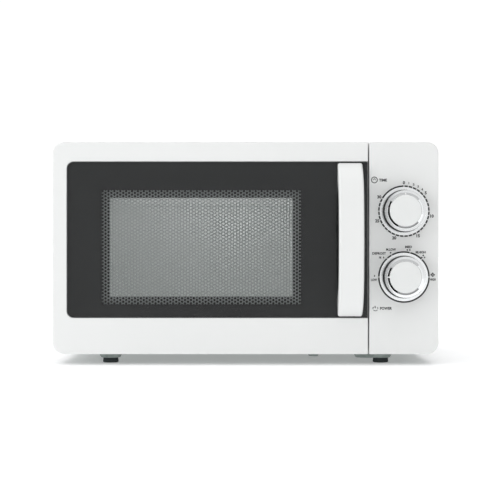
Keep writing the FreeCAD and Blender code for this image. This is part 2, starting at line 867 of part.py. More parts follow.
def filter_box():
    x = (yoke_x[1], yoke_x[1] + filter_depth)
    box = block(x, about(guide_y, 30), about(guide_z, 26))
    hollow = block((x[0] - 1, x[1] - 1), about(guide_y, 29), about(guide_z, 25))
    terminal = rod(
        9,
        (x[0] + filter_depth / 2, guide_y - 30, guide_z),
        (x[0] + filter_depth / 2, guide_y - 44, guide_z),
    )
    blades = []
    for side in (-1, 1):
        z = guide_z + side * 4
        blades.append(
            block(about(x[0] + filter_depth / 2, 3.1), (guide_y - 52, guide_y - 43), about(z, 0.4))
        )
    return united([box.cut(hollow), terminal] + blades)


def oven_lamp():
    """Lamp holder over the perforated patch in the cavity's right wall, and its bulb."""
    t = 1.5
    y, z = about(lamp_y, lamp_half), about(lamp_z, 18)
    x = (wall_out, wall_out + 30)
    hood = block(x, y, z).cut(block((x[0] - 1, x[1] - t), grown(y, -t), grown(z, -t)))
    socket = rod(7, (x[1] - t - 8, lamp_y, lamp_z), (x[1] - t, lamp_y, lamp_z))
    bulb = [
        (0, 3),
        (4, 4),
        (7, 8),
        (7.5, 11),
        (7, 14),
        (5, 17),
        (4.6, x[1] - t - 8 - x[0]),
        (0, x[1] - t - 8 - x[0]),
    ]
    return group([united([hood, socket]), turned(bulb, (x[0], lamp_y, lamp_z), X)])


def air_duct():
    """Elbow that leads the air from the magnetron's fins through the patch near the cavity's front."""
    t = 1.5
    z = about(duct_z, yoke_half_z / 2)
    wall_part = block((wall_out, yoke_x[1]), about(duct_y, duct_half), z)
    yoke_part = block((yoke_x[0] + near, yoke_x[1]), (duct_y - duct_half, guide_y - yoke_half_y), z)
    wall_bore = block((wall_out - 1, yoke_x[1] - t), about(duct_y, duct_half - t), grown(z, -t))
    yoke_bore = block(
        (yoke_x[0] + near + t, yoke_x[1] - t), (duct_y, guide_y - yoke_half_y + 1), grown(z, -t)
    )
    return united([wall_part, yoke_part]).cut(wall_bore).cut(yoke_bore)


def thermal_cutouts():
    """Two snap discs: one on the magnetron's yoke and one on the cavity's ceiling."""
    discs = []
    spots = [
        Vector((yoke_x[0] + yoke_x[1]) / 2, guide_y, guide_z + yoke_half_z),
        Vector(cav_mid, cav_centre_y, cav_top + cavity_sheet),
    ]
    for at in spots:
        base = rod(8, at, at + Z * 4)
        cap = rod(7, at + Z * 4, at + Z * 8)
        ears = block(about(at.x, 12), about(at.y, 4), (at.z, at.z + 0.8))
        discs.append(united([base, cap, ears]))
    return group(discs)


# ---- high-voltage supply and fan ----
core_height = 64.0
core_low = base_top + 1.5
leg_half = 14.0
window_half = 34.0
coil_gap = 0.5
clamp_screw_x = 34.0
can_half = 10.0
can_radius = 15.5
can_length = 50.0


def transformer_core():
    """Welded laminations with two windows, on a foot plate that the bolts go through."""
    x = about(transformer_x, core_half_x)
    y = about(transformer_y, core_half_y)
    z = (core_low, core_low + core_height)
    body = block(x, y, z)
    yoke = (core_half_x - window_half) + 1.0
    windows = []
    for side in (-1, 1):
        reach = sorted((transformer_x + side * leg_half, transformer_x + side * window_half))
        windows.append(block(reach, grown(y, 1), (z[0] + yoke, z[1] - yoke)))
    plate = block(x, about(transformer_y, transformer_bolt_y + 6), (base_top, core_low))
    shape = united([drilled(body, windows), plate])
    bolts = []
    for sx in (-1, 1):
        for sy in (-1, 1):
            at = (
                transformer_x + sx * transformer_bolt_x, transformer_y + sy * transformer_bolt_y, base_top
            )
            bolts.append(screw_hole(at, Z, 8, 2.4))
    return drilled(shape, bolts)


def transformer_windings():
    """Primary below, secondary above, wound round the middle leg."""
    yoke = (core_half_x - window_half) + 1.0
    low = core_low + yoke + coil_gap
    high = core_low + core_height - yoke - coil_gap
    split = low + (high - low) * 0.42
    coils = []
    for z in ((low, split - coil_gap), (split + coil_gap, high)):
        outer = block(
            about(transformer_x, window_half - coil_gap),
            about(transformer_y, core_half_y + coil_overhang),
            z,
        )
        outer = rounded(outer, 14, Z)
        hole = block(
            about(transformer_x, leg_half + coil_gap),
            about(transformer_y, core_half_y + coil_gap),
            grown(z, 1),
        )
        coils.append(outer.cut(hole))
    return group(coils)


def can_prism(y, shrink=0.0, low=0.0):
    """Oval can lying along Y, its flat underneath at the given height."""
    z = base_top + low + can_radius
    r = can_radius - shrink
    centre = (transformer_x, (y[0] + y[1]) / 2, z)
    return slot(centre, can_half, r, y[1] - y[0], X, Y)


def hv_capacitor():
    y = about(capacitor_y, can_length / 2)
    can = can_prism(y, 0, 1.5)
    top = can_prism((y[1], y[1] + 4), 3, 1.5)
    blades = []
    for side in (-1, 1):
        x = transformer_x + side * 9
        blades.append(block(about(x, 3), (y[1] + 3, y[1] + 13), about(base_top + 1.5 + can_radius, 0.4)))
    return united([can, top] + blades)


def capacitor_clamp():
    """Strap over the can, with a foot screwed to the base plate."""
    y = about(capacitor_y, 8)
    band = can_prism(y, -1.0 - near, 1.5)
    band = band.cut(can_prism(grown(y, 1), -near, 1.5))
    z = base_top
    foot = block((transformer_x + can_half, transformer_x + clamp_screw_x + 7), y, (z, z + 1.0))
    inside = can_prism(grown(y, 1), -near, 1.5)
    riser = block(
        (transformer_x + can_half + can_radius - 2, transformer_x + can_half + can_radius + near + 1),
        y,
        (z, z + can_radius),
    )
    shape = united([band, foot.cut(inside), riser.cut(inside)])
    below = block(about(transformer_x, 60), grown(y, 5), (z - 5, z))
    shape = shape.cut(below)
    return drilled(shape, [screw_hole((transformer_x + clamp_screw_x, capacitor_y, z), Z, 6)])


def hv_diode():
    """Diode between the capacitor's terminal and the chassis tab beside it."""
    z = base_top + 1.5 + can_radius
    x = transformer_x - 9
    y = capacitor_y + can_length / 2 + 10
    body = block((x - 18, x - 6), about(y, 3), about(z, 3))
    lead = rod(0.6, (x - 6.5, y, z), (x - 3 - near / 3, y, z))
    tail = rod(0.6, (x - 12, y, base_top + 0.1), (x - 12, y, z - 2.5))
    return united([rounded(body, 1.2, Z), lead, tail])


fan_half = fan_ring_radius + 1.0
fan_plate_y = rear_y[0] - 14.0
fan_hub_radius = 11.0
blade_tip = fan_ring_radius - 5.5
fan_screw_places = [
    (fan_x + sx * (fan_half - 6), fan_z + sz * (fan_half - 6)) for sx in (-1, 1) for sz in (-1, 1)
]
motor_y = (fan_plate_y - 34.0, fan_plate_y - 12.0)
fan_shaft_radius = 2.0


def fan_shroud():
    """Moulded ring and plate behind the fan, with four legs to the rear panel and three arms to the motor."""
    t = 2.0
    plate = block(about(fan_x, fan_half), (fan_plate_y, fan_plate_y + t), about(fan_z, fan_half))
    plate = rounded(plate, 8, Y)
    bore = rod(fan_ring_radius - 3, (fan_x, fan_plate_y - 30, fan_z), (fan_x, fan_plate_y + 30, fan_z))
    ring = rod(fan_ring_radius - 1, (fan_x, fan_plate_y - 10, fan_z), (fan_x, fan_plate_y + t, fan_z))
    legs = [
        rod(4.5, (x, fan_plate_y, z), (x, rear_y[0], z)) for x, z in fan_screw_places
    ]
    shape = united([plate, ring] + legs).cut(bore)
    arms = []
    for angle in (90, 210, 330):
        a = math.radians(angle)
        out = Vector(math.cos(a), 0, math.sin(a))
        mid = Vector(fan_x, fan_plate_y - 10.5, fan_z)
        bar = block((14.2, fan_ring_radius - 1.5), (-1.5, 1.5), (-2.5, 2.5))
        bar.rotate(Vector(0, 0, 0), Y, -angle)
        bar.translate(mid)
        arms.append(bar)
    seat = tube(16, 12, (fan_x, motor_y[1], fan_z), (fan_x, fan_plate_y - 9.5, fan_z))
    shape = united([shape, seat] + arms)
    holes = [screw_hole((x, rear_y[0] - 5, z), Y, 10.2, 1.5) for x, z in fan_screw_places]
    return drilled(shape, holes)


def fan_motor():
    """Shaded-pole motor: lamination stack with a coil on its lower leg, and the front bearing cap."""
    y = motor_y
    stack = block(about(fan_x, 24), (y[0] + 4, y[1]), (fan_z - 34, fan_z + 24))
    window = block(about(fan_x, 14), (y[0], y[1] + 5), (fan_z - 26, fan_z - 17))
    bore = rod(12.5, (fan_x, y[0], fan_z), (fan_x, y[1] + 5, fan_z))
    stack = drilled(stack, [window, bore])
    coil = block(about(fan_x, 13), (y[0], y[1] + 5), (fan_z - 39, fan_z - 26))
    coil = rounded(coil, 3, X)
    coil = coil.cut(block(about(fan_x, 30), (y[0] + 4, y[1]), (fan_z - 34, fan_z - 26)))
    cap = rod(15, (fan_x, y[0] - 2, fan_z), (fan_x, y[0] + 4, fan_z))
    cap = cap.cut(rod(fan_shaft_radius + running, (fan_x, y[0] - 5, fan_z), (fan_x, y[0] + 5, fan_z)))
    return group([stack, coil, cap])


def fan_wheel():
    """Rotor, shaft and five-bladed fan, as they turn together."""
    y_hub = (fan_plate_y - 7.0, fan_plate_y + 7.0)
    hub = rod(fan_hub_radius, (fan_x, y_hub[0], fan_z), (fan_x, y_hub[1], fan_z))
    parts = [hub]
    for k in range(5):
        blade = block((fan_hub_radius - 2, blade_tip), (-8.5, 8.5), (-0.7, 0.7))
        tip = rod(11, (blade_tip - 11, 0, -5), (blade_tip - 11, 0, 5))
        rest = block((0, blade_tip - 11), (-9, 9), (-5, 5))
        blade = blade.common(united([tip, rest]))
        blade.rotate(Vector(0, 0, 0), X, 52)
        blade.rotate(Vector(0, 0, 0), Y, 72 * k)
        blade.translate(Vector(fan_x, fan_plate_y, fan_z))
        parts.append(blade)
    wheel = united(parts)
    shaft_hole = rod(fan_shaft_radius, (fan_x, y_hub[0] - 1, fan_z), (fan_x, y_hub[1] - 3, fan_z))
    wheel = wheel.cut(shaft_hole)
    rotor = rod(12.1, (fan_x, motor_y[0] + 5, fan_z), (fan_x, motor_y[1] - 1, fan_z))
    shaft = rod(fan_shaft_radius, (fan_x, motor_y[0] - 4, fan_z), (fan_x, y_hub[1] - 3, fan_z))
    return group([wheel, united([rotor, shaft])])


def filter_board():
    """Mains filter board standing on the fan shroud, with its choke, fuse and capacitors."""
    z = fan_z + fan_half
    x = (fan_x - 34, fan_x + 34)
    y = (fan_plate_y - 46, fan_plate_y + 4)
    board = block(x, y, (z + 4, z + 5.6))
    posts = [
        rod(2.5, (fan_x + side * 28, fan_plate_y + 1, z), (fan_x + side * 28, fan_plate_y + 1, z + 4))
        for side in (-1, 1)
    ]
    top = z + 5.6
    choke = tube(10, 5, (fan_x - 18, y[0] + 14, top), (fan_x - 18, y[0] + 14, top + 9))
    x_cap = block((fan_x - 4, fan_x + 20), (y[0] + 6, y[0] + 16), (top, top + 13))
    fuse = rod(3, (fan_x - 8, y[0] + 30, top + 3), (fan_x + 14, y[0] + 30, top + 3))
    tabs = [block(about(fan_x - 24 + 8 * k, 3), (y[0] + 42, y[0] + 42.8), (top, top + 8)) for k in range(5)]
    return group([united([board] + posts), choke, x_cap, fuse] + tabs)


# ---- dials ----
panel_wall = 2.5
timer_half = 30.0
timer_depth = 34.0
selector_half_x = 22.0
selector_half_z = 17.0
selector_depth = 22.0
panel_inner = door_front + panel_wall
switch_y = panel_inner + 3.0
dial_screw_bite = 2.5
dial_screws = [(dial_x + side * (timer_half - 5), timer_z) for side in (-1, 1)] + [
    (dial_x + side * (selector_half_x - 5), power_z) for side in (-1, 1)
]


def control_panel():
    x = (panel_left, face_right)
    y = (door_front, plate_front)
    z = (face_bottom, face_top)
    body = block(x, y, z)
    body = rounded(body, face_corner, Y, lambda e: e.CenterOfMass.x > face_right - 1)
    body = rounded(body, 1.5, Y, lambda e: e.CenterOfMass.x < panel_left + 1)
    edges = [e for e in body.Edges if abs(e.CenterOfMass.y - door_front) < 1e-6]
    body = body.makeFillet(1.2, edges)
    hollow = block(grown(x, -panel_wall), (panel_inner, y[1] + 5), grown(z, -panel_wall))
    hollow = rounded(hollow, face_corner - panel_wall, Y, lambda e: e.CenterOfMass.x > face_right - 5)
    body = body.cut(hollow)
    bosses = []
    for px, pz in panel_screws:
        bosses.append(rod(4.5, (px, panel_inner - 0.5, pz), (px, plate_front, pz)))
    for px, pz in dial_screws:
        bosses.append(rod(3.5, (px, panel_inner - 0.5, pz), (px, switch_y, pz)))
    body = united([body] + bosses)
    holes = []
    for cz in (timer_z, power_z):
        holes.append(
            rod(dial_shaft_radius + 2.0, (dial_x, door_front - 5, cz), (dial_x, panel_inner + 5, cz))
        )
    for px, pz in panel_screws:
        holes.append(screw_hole((px, plate_front - 6, pz), Y, 14))
    for px, pz in dial_screws:
        holes.append(
            rod(1.5 + screw_play, (px, switch_y - dial_screw_bite - fit, pz), (px, switch_y + 1, pz))
        )
    return drilled(body, holes)


def knob(cz, mark_angle):
    """Plated dial: skirt, flat rim, slope up to the cap's seat, inner hub, and a notch as its pointer."""
    back = door_front - knob_lift
    h, rim_h = knob_height, knob_height - knob_step
    r, rim = knob_radius, knob_radius - knob_draft
    hub = dial_shaft_radius + 3
    skin = 1.6
    profile = [
        (dial_shaft_radius, 0),
        (hub, 0),
        (hub, rim_h - 5),
        (rim - skin - 0.6, rim_h - 5),
        (r - skin, 0),
        (r, 0),
        (rim + 0.1, rim_h - 0.9),
        (rim - 0.3, rim_h - 0.2),
        (rim - 0.9, rim_h),
        (rim - knob_rim, rim_h),
        (knob_cap_radius + 0.3, h - 0.1),
        (knob_cap_radius + 0.1, h - 0.3),
        (knob_cap_radius + 0.1, h - knob_seat),
        (0, h - knob_seat),
        (0, h - knob_seat - 2),
        (dial_shaft_radius, h - knob_seat - 2),
    ]
    shape = turned(profile, (dial_x, back, cz), -Y)
    top = back - h
    notch = block(
        (knob_cap_radius + 0.5, rim - knob_rim + 0.4), (top - 1, top + knob_step + 0.5), about(0, knob_mark)
    )
    notch.rotate(Vector(0, 0, 0), Y, -mark_angle)
    notch.translate(Vector(dial_x, 0, cz))
    return shape.cut(notch)


def knob_cap(cz):
    seat = door_front - knob_lift - knob_height + knob_seat
    thick = knob_seat
    edge = 0.6
    profile = [
        (0, 0),
        (knob_cap_radius, 0),
        (knob_cap_radius, thick - edge),
        (knob_cap_radius - edge, thick),
        (0, thick + 0.3),
    ]
    return turned(profile, (dial_x, seat, cz), -Y)


def dial_shaft(cz, depth):
    """Shaft with a flat, from inside the switch to inside the knob."""
    front = door_front - knob_lift - knob_height + knob_seat + 2 + near
    shaft = rod(dial_shaft_radius - running, (dial_x, front, cz), (dial_x, switch_y + depth * 0.6, cz))
    flat = block(
        (dial_x + dial_shaft_radius - 1.2, dial_x + dial_shaft_radius + 1),
        (front - 1, front + 8),
        about(cz, 5),
    )
    return shaft.cut(flat)


def timer_switch():
    """Clockwork timer case on its mounting plate, with the bell behind it."""
    y = (switch_y, switch_y + timer_depth)
    ears = block(about(dial_x, timer_half), (y[0], y[0] + 1.5), about(timer_z, 14))
    case = block(about(dial_x, 22), (y[0], y[1]), about(timer_z, 25))
    case = rounded(case, 3, Y)
    tabs = [
        block(
            about(dial_x - 12 + 8 * k, 3), (y[1] - 8, y[1] - 7.2), (timer_z + 24, timer_z + 31)
        ) for k in range(4)
    ]
    bore = rod(
        dial_shaft_radius, (dial_x, y[0] - 1, timer_z), (dial_x, y[0] + timer_depth * 0.6 + 1, timer_z)
    )
    holes = [screw_hole((dial_x + side * (timer_half - 5), y[0], timer_z), Y, 8, 1.5) for side in (-1, 1)]
    body = drilled(united([case, ears] + tabs), [bore] + holes)
    bell = turned(
        [(0, 4), (3, 4), (3, 0), (16, 0), (16, 6), (15, 6), (15, 1), (4, 1), (4, 5), (0, 5)],
        (dial_x, y[1], timer_z),
        Y,
    )
    post = rod(2.5, (dial_x, y[1], timer_z), (dial_x, y[1] + 4, timer_z))
    bell = bell.cut(rod(3.0, (dial_x, y[1] - 1, timer_z), (dial_x, y[1] + 3.9, timer_z)))
    return group([united([body, post]), bell])


def power_selector():
    y = (switch_y, switch_y + selector_depth)
    ears = block(about(dial_x, selector_half_x + 1), (y[0], y[0] + 1.5), about(power_z, 8))
    case = block(about(dial_x, selector_half_x - 9), (y[0], y[1]), about(power_z, selector_half_z))
    case = rounded(case, 2, Y)
    tabs = [
        block(
            about(dial_x - 6 + 12 * k, 3), (y[1] - 1, y[1] + 8), about(power_z - 6, 0.4)
        ) for k in range(2)
    ]
    bore = rod(
        dial_shaft_radius, (dial_x, y[0] - 1, power_z), (dial_x, y[0] + selector_depth * 0.6 + 1, power_z)
    )
    holes = [
        screw_hole((dial_x + side * (selector_half_x - 5), y[0], power_z), Y, 8, 1.5) for side in (-1, 1)
    ]
    return drilled(united([case, ears] + tabs), [bore] + holes)


# ---- door ----
frame_front_wall = 3.0
ledge = 2.5
screen_front = door_front + screen_sink
screen_back = screen_front + screen_thick
ledge_back = screen_back + ledge
screen_x = (face_left + screen_left, door_right)
screen_z = (face_bottom + screen_bottom, face_top - screen_top)
field_x = (face_left + mesh_left, door_right - mesh_right)
field_z = (face_bottom + mesh_bottom, face_top - mesh_top)
window_margin = 12.0
mesh_y = ledge_back + 2.0
steel_x = (face_left + 6.0, door_right - 4.0)
steel_z = (face_bottom + 4.0, face_top - 4.0)
cover_thick = 1.3
seal_y = door_back - cover_thick - frame_sheet
pan_x = grown(field_x, 22.0)
pan_z = grown(field_z, 14.0)
skirt_depth = 9.0
hook_bar_y = (ledge_back + near, ledge_back + near + 9.0)
spring_turns = 14
spring_wire = 1.0
spring_radius = 2.8
spring_y = (hook_bar_y[0] + hook_bar_y[1]) / 2
spring_low = lower_hook_z - 10.5 - spring_turns * spring_wire
spring_post_z = spring_low - 1.8
handle_x = (door_right - handle_right - handle_width, door_right - handle_right)
handle_z = (screen_z[0] + handle_end, screen_z[1] - handle_end)
handle_screw_z = [handle_z[0] + 11.0, handle_z[1] - 11.0]
handle_mid_x = (handle_x[0] + handle_x[1]) / 2
door_screw_places = [
    (steel_x[0] + 16, steel_z[0] + 9),
    (steel_x[0] + 16, steel_z[1] - 9),
    (steel_x[1] - 9, steel_z[0] + 9),
    (steel_x[1] - 9, steel_z[1] - 9),
]
boss_radius = 5.5


def door_frame():
    """Moulded surround: front wall, side walls, the ledge that the screen lies on, and bosses."""
    x, y, z = (face_left, door_right), (door_front, door_back), (face_bottom, face_top)
    body = block(x, y, z)
    body = rounded(body, face_corner, Y, lambda e: e.CenterOfMass.x < face_left + 1)
    body = rounded(body, 1.5, Y, lambda e: e.CenterOfMass.x > door_right - 1)
    edges = [e for e in body.Edges if abs(e.CenterOfMass.y - door_front) < 1e-6]
    body = body.makeFillet(1.2, edges)
    body = rounded_hinge_side(body)
    w = plastic_wall
    hollow = block(grown(x, -w), (door_front + frame_front_wall, door_back + 5), grown(z, -w))
    hollow = rounded(hollow, face_corner - w, Y, lambda e: e.CenterOfMass.x < face_left + 5)
    body = body.cut(hollow)
    pad = block((screen_x[0] - w, door_right - w), (door_front + 1, ledge_back), grown(screen_z, w))
    body = united([body, pad])
    seat = block((screen_x[0], door_right + 5), (door_front - 5, screen_back), screen_z)
    seat = rounded(seat, screen_corner, Y, lambda e: e.CenterOfMass.x < face_left + 40)
    opening = block(
        grown(field_x, window_margin), (door_front, ledge_back + 5), grown(field_z, window_margin)
    )
    opening = rounded(opening, 4, Y)
    body = body.cut(seat).cut(opening)
    bosses = []
    for px, pz in door_screw_places:
        bosses.append(rod(4.0, (px, door_front + frame_front_wall - 0.5, pz), (px, seal_y, pz)))
    bearing_top = rod(
        boss_radius,
        (hinge_x, hinge_y, upper_arm_low + hinge_arm + near),
        (hinge_x, hinge_y, face_top - w + 0.2),
    )
    spring_post = rod(
        1.5,
        (hook_x, door_front + frame_front_wall - 0.5, spring_post_z),
        (hook_x, spring_y + 3, spring_post_z),
    )
    bearing_low = rod(
        boss_radius, (hinge_x, hinge_y, face_bottom + w - 0.2), (hinge_x, hinge_y, lower_arm_low - near)
    )
    body = united([body, bearing_top, bearing_low, spring_post] + bosses)
    cuts = [
        rod(
            hinge_pin_radius + running,
            (hinge_x, hinge_y, upper_arm_low),
            (hinge_x, hinge_y, face_top - w - 1.0),
        ),
        rod(
            hinge_pin_radius + running,
            (hinge_x, hinge_y, face_bottom + w + 1.0),
            (hinge_x, hinge_y, lower_arm_low + 2),
        ),
    ]
    for low in (upper_arm_low, lower_arm_low):
        sweep = arm_half + hinge_inset * 0.4
        cuts.append(
            block(
                (face_left - 1, face_left + w + 0.5),
                (hinge_y - sweep - near, door_back + 1),
                grown((low, low + hinge_arm), near),
            )
        )
    for px, pz in door_screw_places:
        cuts.append(rod(1.6 + screw_play, (px, seal_y - 12, pz), (px, seal_y + 1, pz)))
    for pz in handle_screw_z:
        cuts.append(screw_hole((handle_mid_x, ledge_back, pz), Y, 12))
    return drilled(body, cuts)


def rounded_hinge_side(body):
    """Rounds the left rear edge, so that it clears the front plate as the door swings."""
    edges = []
    for e in body.Edges:
        c = e.CenterOfMass
        if abs(c.y - door_back) < 1e-6 and abs(c.x - face_left) < 1e-6:
            edges.append(e)
    corner = block(
        (face_left - 1, hinge_x),
        (hinge_y + hinge_setback - door_gap - hinge_inset, door_back + 1),
        (face_bottom - 1, face_top + 1),
    )
    keep = rod(
        hinge_inset,
        (hinge_x, door_back - hinge_inset, face_bottom - 2),
        (hinge_x, door_back - hinge_inset, face_top + 2),
    )
    return body.cut(corner.cut(keep))


def door_screen():
    y = (screen_front, screen_back)
    x = (screen_x[0] + fit, screen_x[1] - fit)
    z = grown(screen_z, -fit)
    pane = block(x, y, z)
    pane = rounded(pane, screen_corner - fit, Y, lambda e: e.CenterOfMass.x < face_left + 40)
    holes = [screw_hole((handle_mid_x, screen_front, pz), Y, 12) for pz in handle_screw_z]
    return drilled(pane, holes)


def handle_outline(inset, thick):
    """Half-length, chord rise and arcs of one side of the arched handle, in the YZ plane."""
    z0, z1 = handle_z[0] + inset, handle_z[1] - inset
    mid = (z0 + z1) / 2
    half = (z1 - z0) / 2
    shoulder = half * 0.53  # the middle arc's half chord
    crown = 3.0 * (half / 90.0)  # and its rise
    reach = handle_reach + screen_sink - thick
    big = (shoulder**2 + crown**2) / (2 * crown)
    s, c = shoulder / big, math.sqrt(1 - (shoulder / big) ** 2)
    run, rise = half - shoulder, reach - crown
    small = (run**2 + rise**2) / (2 * (rise * c - run * s))
    # point on the end arc half way round, from its centre
    centre = (run + s * small, rise - c * small)
    start = math.atan2(-centre[1], -centre[0])
    stop = math.atan2(rise - centre[1], run - centre[0])
    half_way = (start + stop) / 2
    bulge = (centre[0] + small * math.cos(half_way), centre[1] + small * math.sin(half_way))
    x = handle_x[0]

    def at(along, out, end):
        return Vector(x, screen_front - out, z1 - along if end else z0 + along)

    upper = Part.Arc(at(0, 0, True), at(*bulge, True), at(run, rise, True)).toShape()
    middle = Part.Arc(
        at(run, rise, True), Vector(x, screen_front - reach, mid), at(run, rise, False)
    ).toShape()
    lower = Part.Arc(at(run, rise, False), at(*bulge, False), at(0, 0, False)).toShape()
    return upper, middle, lower


def door_handle():
    """Arched strap with a thick foot at each end."""
    outer = handle_outline(0.0, 0.0)
    inner = handle_outline(handle_foot, handle_thick)

    def prism(arcs):
        ends = (arcs[0].Vertexes[0].Point, arcs[-1].Vertexes[-1].Point)
        base = Part.LineSegment(ends[1], ends[0]).toShape()
        return Part.Face(Part.Wire(list(arcs) + [base])).extrude(X * handle_width)

    body = prism(outer)
    long_edges = [
        e
        for e in body.Edges
        if isinstance(e.Curve, Part.Circle) and e.CenterOfMass.y < screen_front - 1
    ]
    body = body.makeFillet(2.5, long_edges)
    body = body.cut(prism(inner))
    holes = [
        rod(1.6, (handle_mid_x, screen_front - 9, pz), (handle_mid_x, screen_front + 1, pz))
        for pz in handle_screw_z
    ]
    return drilled(body, holes)


def door_screws():
    """Two long screws into the handle, and four that hold the steel panel to the frame."""
    solids = []
    for pz in handle_screw_z:
        solids.append(
            screw((handle_mid_x, ledge_back, pz), -Y, ledge + screen_thick + 8, 1.5, small_head, 2.0)
        )
    for px, pz in door_screw_places:
        solids.append(screw((px, seal_y + frame_sheet, pz), -Y, 11, 1.6, small_head, 1.2))
    return group(solids)


def hook_windows():
    """Cutters through the door's back where the hooks come out and lift."""
    x, y = about(hook_x, hook_thick / 2 + 0.6), (seal_y - 5, door_back + 5)
    lows = (upper_hook_z, lower_hook_z)
    return [block(x, y, grown((low, low + hook_arm_height + hook_lift), 0.6)) for low in lows]


def hinge_notches(margin):
    """Cutters at the door's hinge corners, round the arms and their bearings."""
    x = (face_left - 1, hinge_x + boss_radius + 1.5 + margin)
    y = (door_front, door_back + 5)
    upper = block(x, y, (upper_arm_low - 1.3 - margin, face_top + 1))
    lower = block(x, y, (face_bottom - 1, lower_arm_low + hinge_arm + 1.3 + margin))
    return [upper, lower]


def door_panel():
    """Steel panel: field behind the screen, walls back to the sealing flange and an edge skirt."""
    t = frame_sheet
    field = block(pan_x, (mesh_y, mesh_y + t), pan_z)
    walls = block(pan_x, (mesh_y, seal_y + t), pan_z)
    walls = walls.cut(block(grown(pan_x, -t), (mesh_y - 1, seal_y + t + 1), grown(pan_z, -t)))
    flange = block(steel_x, (seal_y, seal_y + t), steel_z).cut(
        block(grown(pan_x, -t), (seal_y - 1, seal_y + t + 1), grown(pan_z, -t))
    )
    skirt = block(steel_x, (seal_y - skirt_depth, seal_y + t), steel_z).cut(
        block(grown(steel_x, -t), (seal_y - skirt_depth - 1, seal_y + t + 1), grown(steel_z, -t))
    )
    shape = united([field, walls, flange, skirt])
    cuts = [screw_hole((px, seal_y, pz), Y, 8, 1.6) for px, pz in door_screw_places]
    return drilled(shape, cuts + hook_windows() + hinge_notches(0.0))


def choke_cover():
    """Moulded ring that covers the sealing flange's face all round."""
    y = (door_back - cover_thick, door_back)
    outer = block(grown(steel_x, -1.0), y, grown(steel_z, -1.0))
    outer = rounded(outer, 6, Y)
    inner = rounded(block(grown(pan_x, 2.0), grown(y, 1), grown(pan_z, 2.0)), 8, Y)
    cuts = [rod(4.2, (px, y[0] - 1, pz), (px, y[1] + 1, pz)) for px, pz in door_screw_places]
    return drilled(outer.cut(inner), cuts + hook_windows() + hinge_notches(1.0))


tape_thick = 0.3
pane_thick = 1.0


def window_tape():
    y = (mesh_y + frame_sheet, mesh_y + frame_sheet + tape_thick)
    outer = block(grown(field_x, window_margin), y, grown(field_z, window_margin))
    inner = rounded(block(grown(field_x, -tape_width), grown(y, 1), grown(field_z, -tape_width)), 2, Y)
    return outer.cut(inner)


def inner_window():
    low = mesh_y + frame_sheet + tape_thick
    pane = block(grown(field_x, window_margin), (low, low + pane_thick), grown(field_z, window_margin))
    return rounded(pane, 3, Y)


hook_lip = 4.0


def latch_hook():
    """Upright bar behind the screen's edge, with two hooks that reach through the front plate."""
    bar_z = (lower_hook_z - 10, upper_hook_z + hook_arm_height + 6)
    x = about(hook_x, hook_thick / 2)
    parts = [block(x, hook_bar_y, bar_z)]
    for low in (upper_hook_z, lower_hook_z):
        top = low + hook_arm_height
        side = [
            (hook_bar_y[1] - 1, low + hook_lip),
            (hook_tip_y - 9, low + hook_lip),
            (hook_tip_y - 9, low + 0.6),
            (hook_tip_y - 7, low),
            (hook_tip_y, low + hook_lip),
            (hook_tip_y, top),
            (hook_bar_y[1] - 1, top),
        ]
        wire = [Vector(x[0], y, z) for y, z in side]
        parts.append(Part.Face(Part.makePolygon(wire + [wire[0]])).extrude(X * hook_thick))
    parts.append(rod(1.3, (hook_x, spring_y, bar_z[0] - 4), (hook_x, spring_y, bar_z[0] + 1)))
    return united(parts)


def latch_spring():
    """Close-wound tension spring under the hook bar, drawn as its stacked coils."""
    y = spring_y
    low = spring_low
    top = low + spring_turns * spring_wire
    r = spring_radius
    points = [Vector(hook_x + 1.7, y, low), Vector(hook_x + r, y, low)]
    edges = [Part.LineSegment(points[0], points[1]).toShape()]
    for k in range(spring_turns):
        z0 = low + k * spring_wire
        a = Vector(hook_x + r, y, z0)
        b = Vector(hook_x + r + spring_wire / 2, y, z0 + spring_wire / 2)
        c = Vector(hook_x + r, y, z0 + spring_wire)
        edges.append(Part.Arc(a, b, c).toShape())
    edges.append(Part.LineSegment(Vector(hook_x + r, y, top), Vector(hook_x + 1.7, y, top)).toShape())
    edges.append(Part.LineSegment(Vector(hook_x + 1.7, y, top), points[0]).toShape())
    return Part.Face(Part.Wire(edges)).revolve(Vector(hook_x, y, 0), Z, 360)


# ---- interlock behind the front plate ----
latch_right = hook_slot_range()[1] + 10.0
latch_screw_x = latch_right - 6.0
latch_z = (lower_hook_z - 16.0, upper_hook_z + hook_arm_height + 16.0)
latch_screw_heights = [latch_z[0] + 6.0, latch_z[1] - 6.0]
latch_wall = 2.0
plunger_radius = 1.6
plunger_travel = 1.0
plunger_edge = 2.9  # plunger's axis to the end of its switch
switch_x = (hook_x - switch_size[0] / 2, hook_x + switch_size[0] / 2)


def switch_places():
    """Height of the plunger and of the case's lower end, of each switch; the lower hook works two."""
    upper = upper_hook_z + hook_lip + 5.0
    second = lower_hook_z + hook_lip + 8.5
    third = lower_hook_z + hook_lip + 2.5
    return [
        (upper, upper - plunger_edge),
        (second, second - plunger_edge),
        (third, third + plunger_edge - switch_size[2]),
    ]


